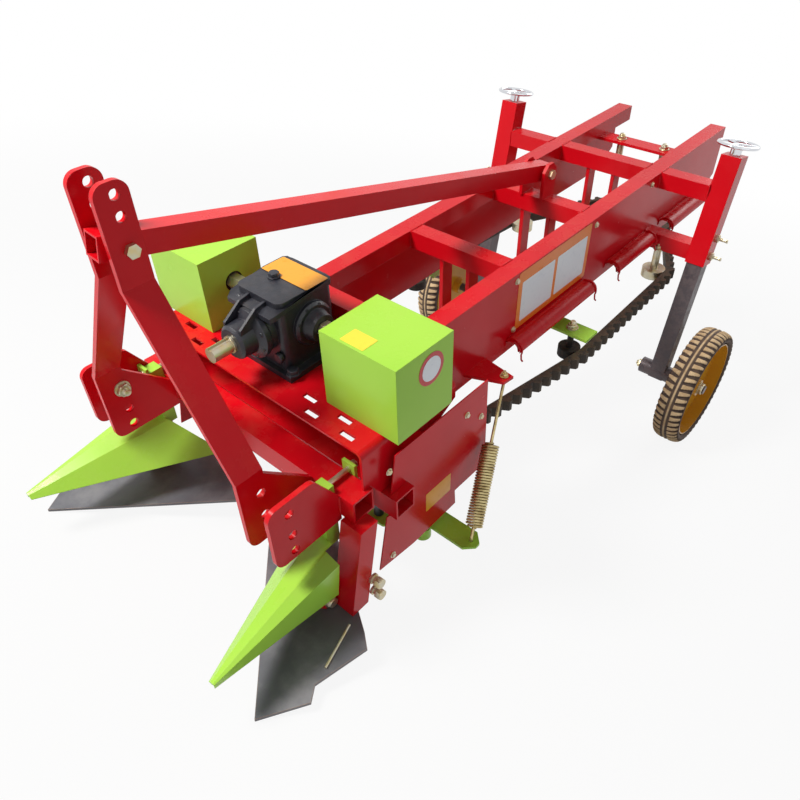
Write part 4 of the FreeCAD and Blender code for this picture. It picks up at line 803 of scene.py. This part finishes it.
def weld_beads():
    """Beads along the joints of the tubes, the masts and the brackets."""
    made = []
    for line in CROSS_LINES:
        front, rear = line - TUBE_HALF, line + TUBE_HALF
        for _, sign in SIDES:
            end = sign * CROSS_END
            made.append(weld((end, front, RAIL_TOP), (end, rear, RAIL_TOP)))
            made.append(weld((end, front, RAIL_TOP), (end, front, BEAD_FOOT)))
            made.append(weld((end, rear, RAIL_TOP), (end, rear, BEAD_FOOT)))
    front, rear = CROSS_LINES[-1] - TUBE_HALF, CROSS_LINES[-1] + TUBE_HALF
    for _, sign in SIDES:
        for end in (sign * PANEL_FACE, sign * OUTRIGGER_END):
            made.append(weld((end, front, RAIL_TOP), (end, rear, RAIL_TOP)))
            made.append(weld((end, front, RAIL_TOP), (end, front, BEAD_FOOT)))
        made.append(weld((sign * PANEL_FACE, 1433, 5), (sign * PANEL_FACE, 1483, 5)))
        for reach in PLATE_REACHES:
            for face in (-PLATE_HALF, PLATE_HALF):
                place = MAST_MIDDLE + sign * reach + face
                made.append(weld((place, -1, -58), (place, -1, -2), 3.4))
        mast = MAST_MIDDLE + sign * 39.5
        made.append(weld((mast, -170, 452), (mast, -122, 452), 2.6))
    add_piece("weld_beads", joined(made), slot="red_paint", angle=50)


weld_beads()

# ---------------------------------------------------------------- blank labels
LEFTWARD, REARWARD, UP = np.eye(3)
PLACARD_LINE, DISC_MIDDLE = 873, (214, 238)
ORANGE = printed_film("orange_label", shade(246, 132, 36), shade(216, 108, 44))
WHITE = printed_film("white_label", shade(242, 246, 252), shade(212, 218, 230))
YELLOW = printed_film("yellow_label", shade(246, 218, 60), shade(222, 190, 60))
AMBER = printed_film("amber_label", shade(238, 164, 40), shade(202, 132, 42))
LABEL_RED = printed_film("red_label", shade(206, 34, 40), shade(170, 30, 36))


def labels():
    """The placard with its two fields, and the blank labels of the gearbox, the near drive cover
    and the shield, each a thin plate a fraction of a millimetre off the face that carries it."""
    placard = card((203.2, PLACARD_LINE, 99), REARWARD, UP, (352, 168), 0.6, 40)
    add_piece("placard", placard, slot="red_paint", finish=ORANGE)
    fields = [card((203.9, PLACARD_LINE + way * 83, 92), REARWARD, UP, (152, 118), 0.3, 40)
              for way in (-1, 1)]
    add_piece("placard_fields", joined(fields), slot="red_paint", finish=WHITE)
    top = card((MAST_MIDDLE, 228, 293), LEFTWARD, REARWARD, (148, 66), 0.5, 30)
    add_piece("gearbox_label", top, slot="black_casting", finish=AMBER)
    sticker = card((196, 140, 292.2), LEFTWARD, REARWARD, (62, 44), 0.4, 30)
    add_piece("cover_label", sticker, slot="green_paint", finish=YELLOW)
    disc = card((317.9, *DISC_MIDDLE), REARWARD, UP, (76, 76), 0.4, 2)
    add_piece("cover_disc", disc, slot="green_paint", finish=LABEL_RED)
    centre = card((318.4, *DISC_MIDDLE), REARWARD, UP, (56, 56), 0.3, 2)
    add_piece("cover_disc_centre", centre, slot="green_paint", finish=WHITE)
    shield = card((303.2, 262, -176), REARWARD, UP, (92, 60), 0.4, 30)
    add_piece("shield_label", shield, slot="red_paint", finish=AMBER)


labels()

# ---------------------------------------------------------------- camera
camera_data = bpy.data.cameras.new("camera")
camera_data.lens = 31.657
camera_data.sensor_width = 36
camera_data.clip_end = 100
camera = bpy.data.objects.new("camera", camera_data)
camera.location = stand((1001.7, -622.5, 1096.0))
camera.rotation_euler = [math.radians(turn) for turn in (57.3409, -6.0302, 41.1482)]
bpy.context.scene.collection.objects.link(camera)
bpy.context.scene.camera = camera

# ---------------------------------------------------------------- stage
SEEN_RAYS = ("Is Camera Ray", "Is Glossy Ray", "Is Transmission Ray")
FLOOR_HALF, FLOOR_PALE = 30.0, 0.62
SKY_LIGHT, SKY_SEEN = 0.24, 1.0
WARM, COOL, PLAIN = (1, 0.985, 0.96), (0.95, 0.97, 1), (1, 1, 1)


def floor_finish():
    """Pale floor, seen as a mix of its lit colour, which keeps the shadow, and plain white. The
    white takes nine tenths near the machine and all of it far away."""
    g = Graph("floor")
    path = [g.node("ShaderNodeLightPath", out=name) for name in SEEN_RAYS]
    seen = path[0].larger(path[1]).larger(path[2])
    matt = g.node("ShaderNodeBsdfDiffuse", None, {"Color": (FLOOR_PALE,) * 3 + (1,)})
    glow = g.node("ShaderNodeEmission", None, {"Color": (*PLAIN, 1), "Strength": 1.0})
    apart = g.vectors("LENGTH", {0: g.place}, 1)
    share = apart.ramp(1.6, 5.0) * 0.1 + 0.9
    return g.end(g.node("ShaderNodeMixShader", None, {0: seen * share, 1: matt, 2: glow}))


def add_floor():
    """One flat square under the wheels."""
    half = FLOOR_HALF
    mesh = bpy.data.meshes.new("floor")
    corners = [(-half, -half, 0), (half, -half, 0), (half, half, 0), (-half, half, 0)]
    mesh.from_pydata(corners, [], [(0, 1, 2, 3)])
    mesh.materials.append(floor_finish())
    floor = bpy.data.objects.new("floor", mesh)
    bpy.context.scene.collection.objects.link(floor)


def add_lamp(name, place, target, size, power, colour=PLAIN):
    """A square soft light that looks at target."""
    lamp = bpy.data.lights.new(name, "AREA")
    lamp.size = size
    lamp.energy = power
    lamp.color = colour
    holder = bpy.data.objects.new(name, lamp)
    holder.location = place
    holder.rotation_euler = (Vector(target) - Vector(place)).to_track_quat("-Z", "Y").to_euler()
    bpy.context.scene.collection.objects.link(holder)


def add_world():
    """Soft surroundings: plain white to the camera, in reflections and through glass, and a dim
    cool light to all else."""
    world = bpy.data.worlds.new("world")
    bpy.context.scene.world = world
    world.use_nodes = True
    tree = world.node_tree
    tree.nodes.clear()
    path = tree.nodes.new("ShaderNodeLightPath")
    seen = path.outputs[SEEN_RAYS[0]]
    for name in SEEN_RAYS[1:]:
        largest = tree.nodes.new("ShaderNodeMath")
        largest.operation = "MAXIMUM"
        tree.links.new(seen, largest.inputs[0])
        tree.links.new(path.outputs[name], largest.inputs[1])
        seen = largest.outputs[0]
    choice = tree.nodes.new("ShaderNodeMixShader")
    tree.links.new(seen, choice.inputs[0])
    for socket, colour, strength in ((1, COOL, SKY_LIGHT), (2, PLAIN, SKY_SEEN)):
        sky = tree.nodes.new("ShaderNodeBackground")
        sky.inputs["Color"].default_value = (*colour, 1)
        sky.inputs["Strength"].default_value = strength
        tree.links.new(sky.outputs[0], choice.inputs[socket])
    end = tree.nodes.new("ShaderNodeOutputWorld")
    tree.links.new(choice.outputs[0], end.inputs["Surface"])


add_floor()
add_world()
add_lamp("key", (-1.5, -2.9, 3.6), (0, 0, 0.5), size=1.1, power=215, colour=WARM)
add_lamp("fill", (3.2, -1.2, 1.6), (0, 0, 0.4), size=2.5, power=7, colour=COOL)
add_lamp("back", (0.4, 3.6, 3.0), (0, 0, 0.5), size=2.0, power=50)

scene = bpy.context.scene
scene.view_settings.view_transform = "Standard"
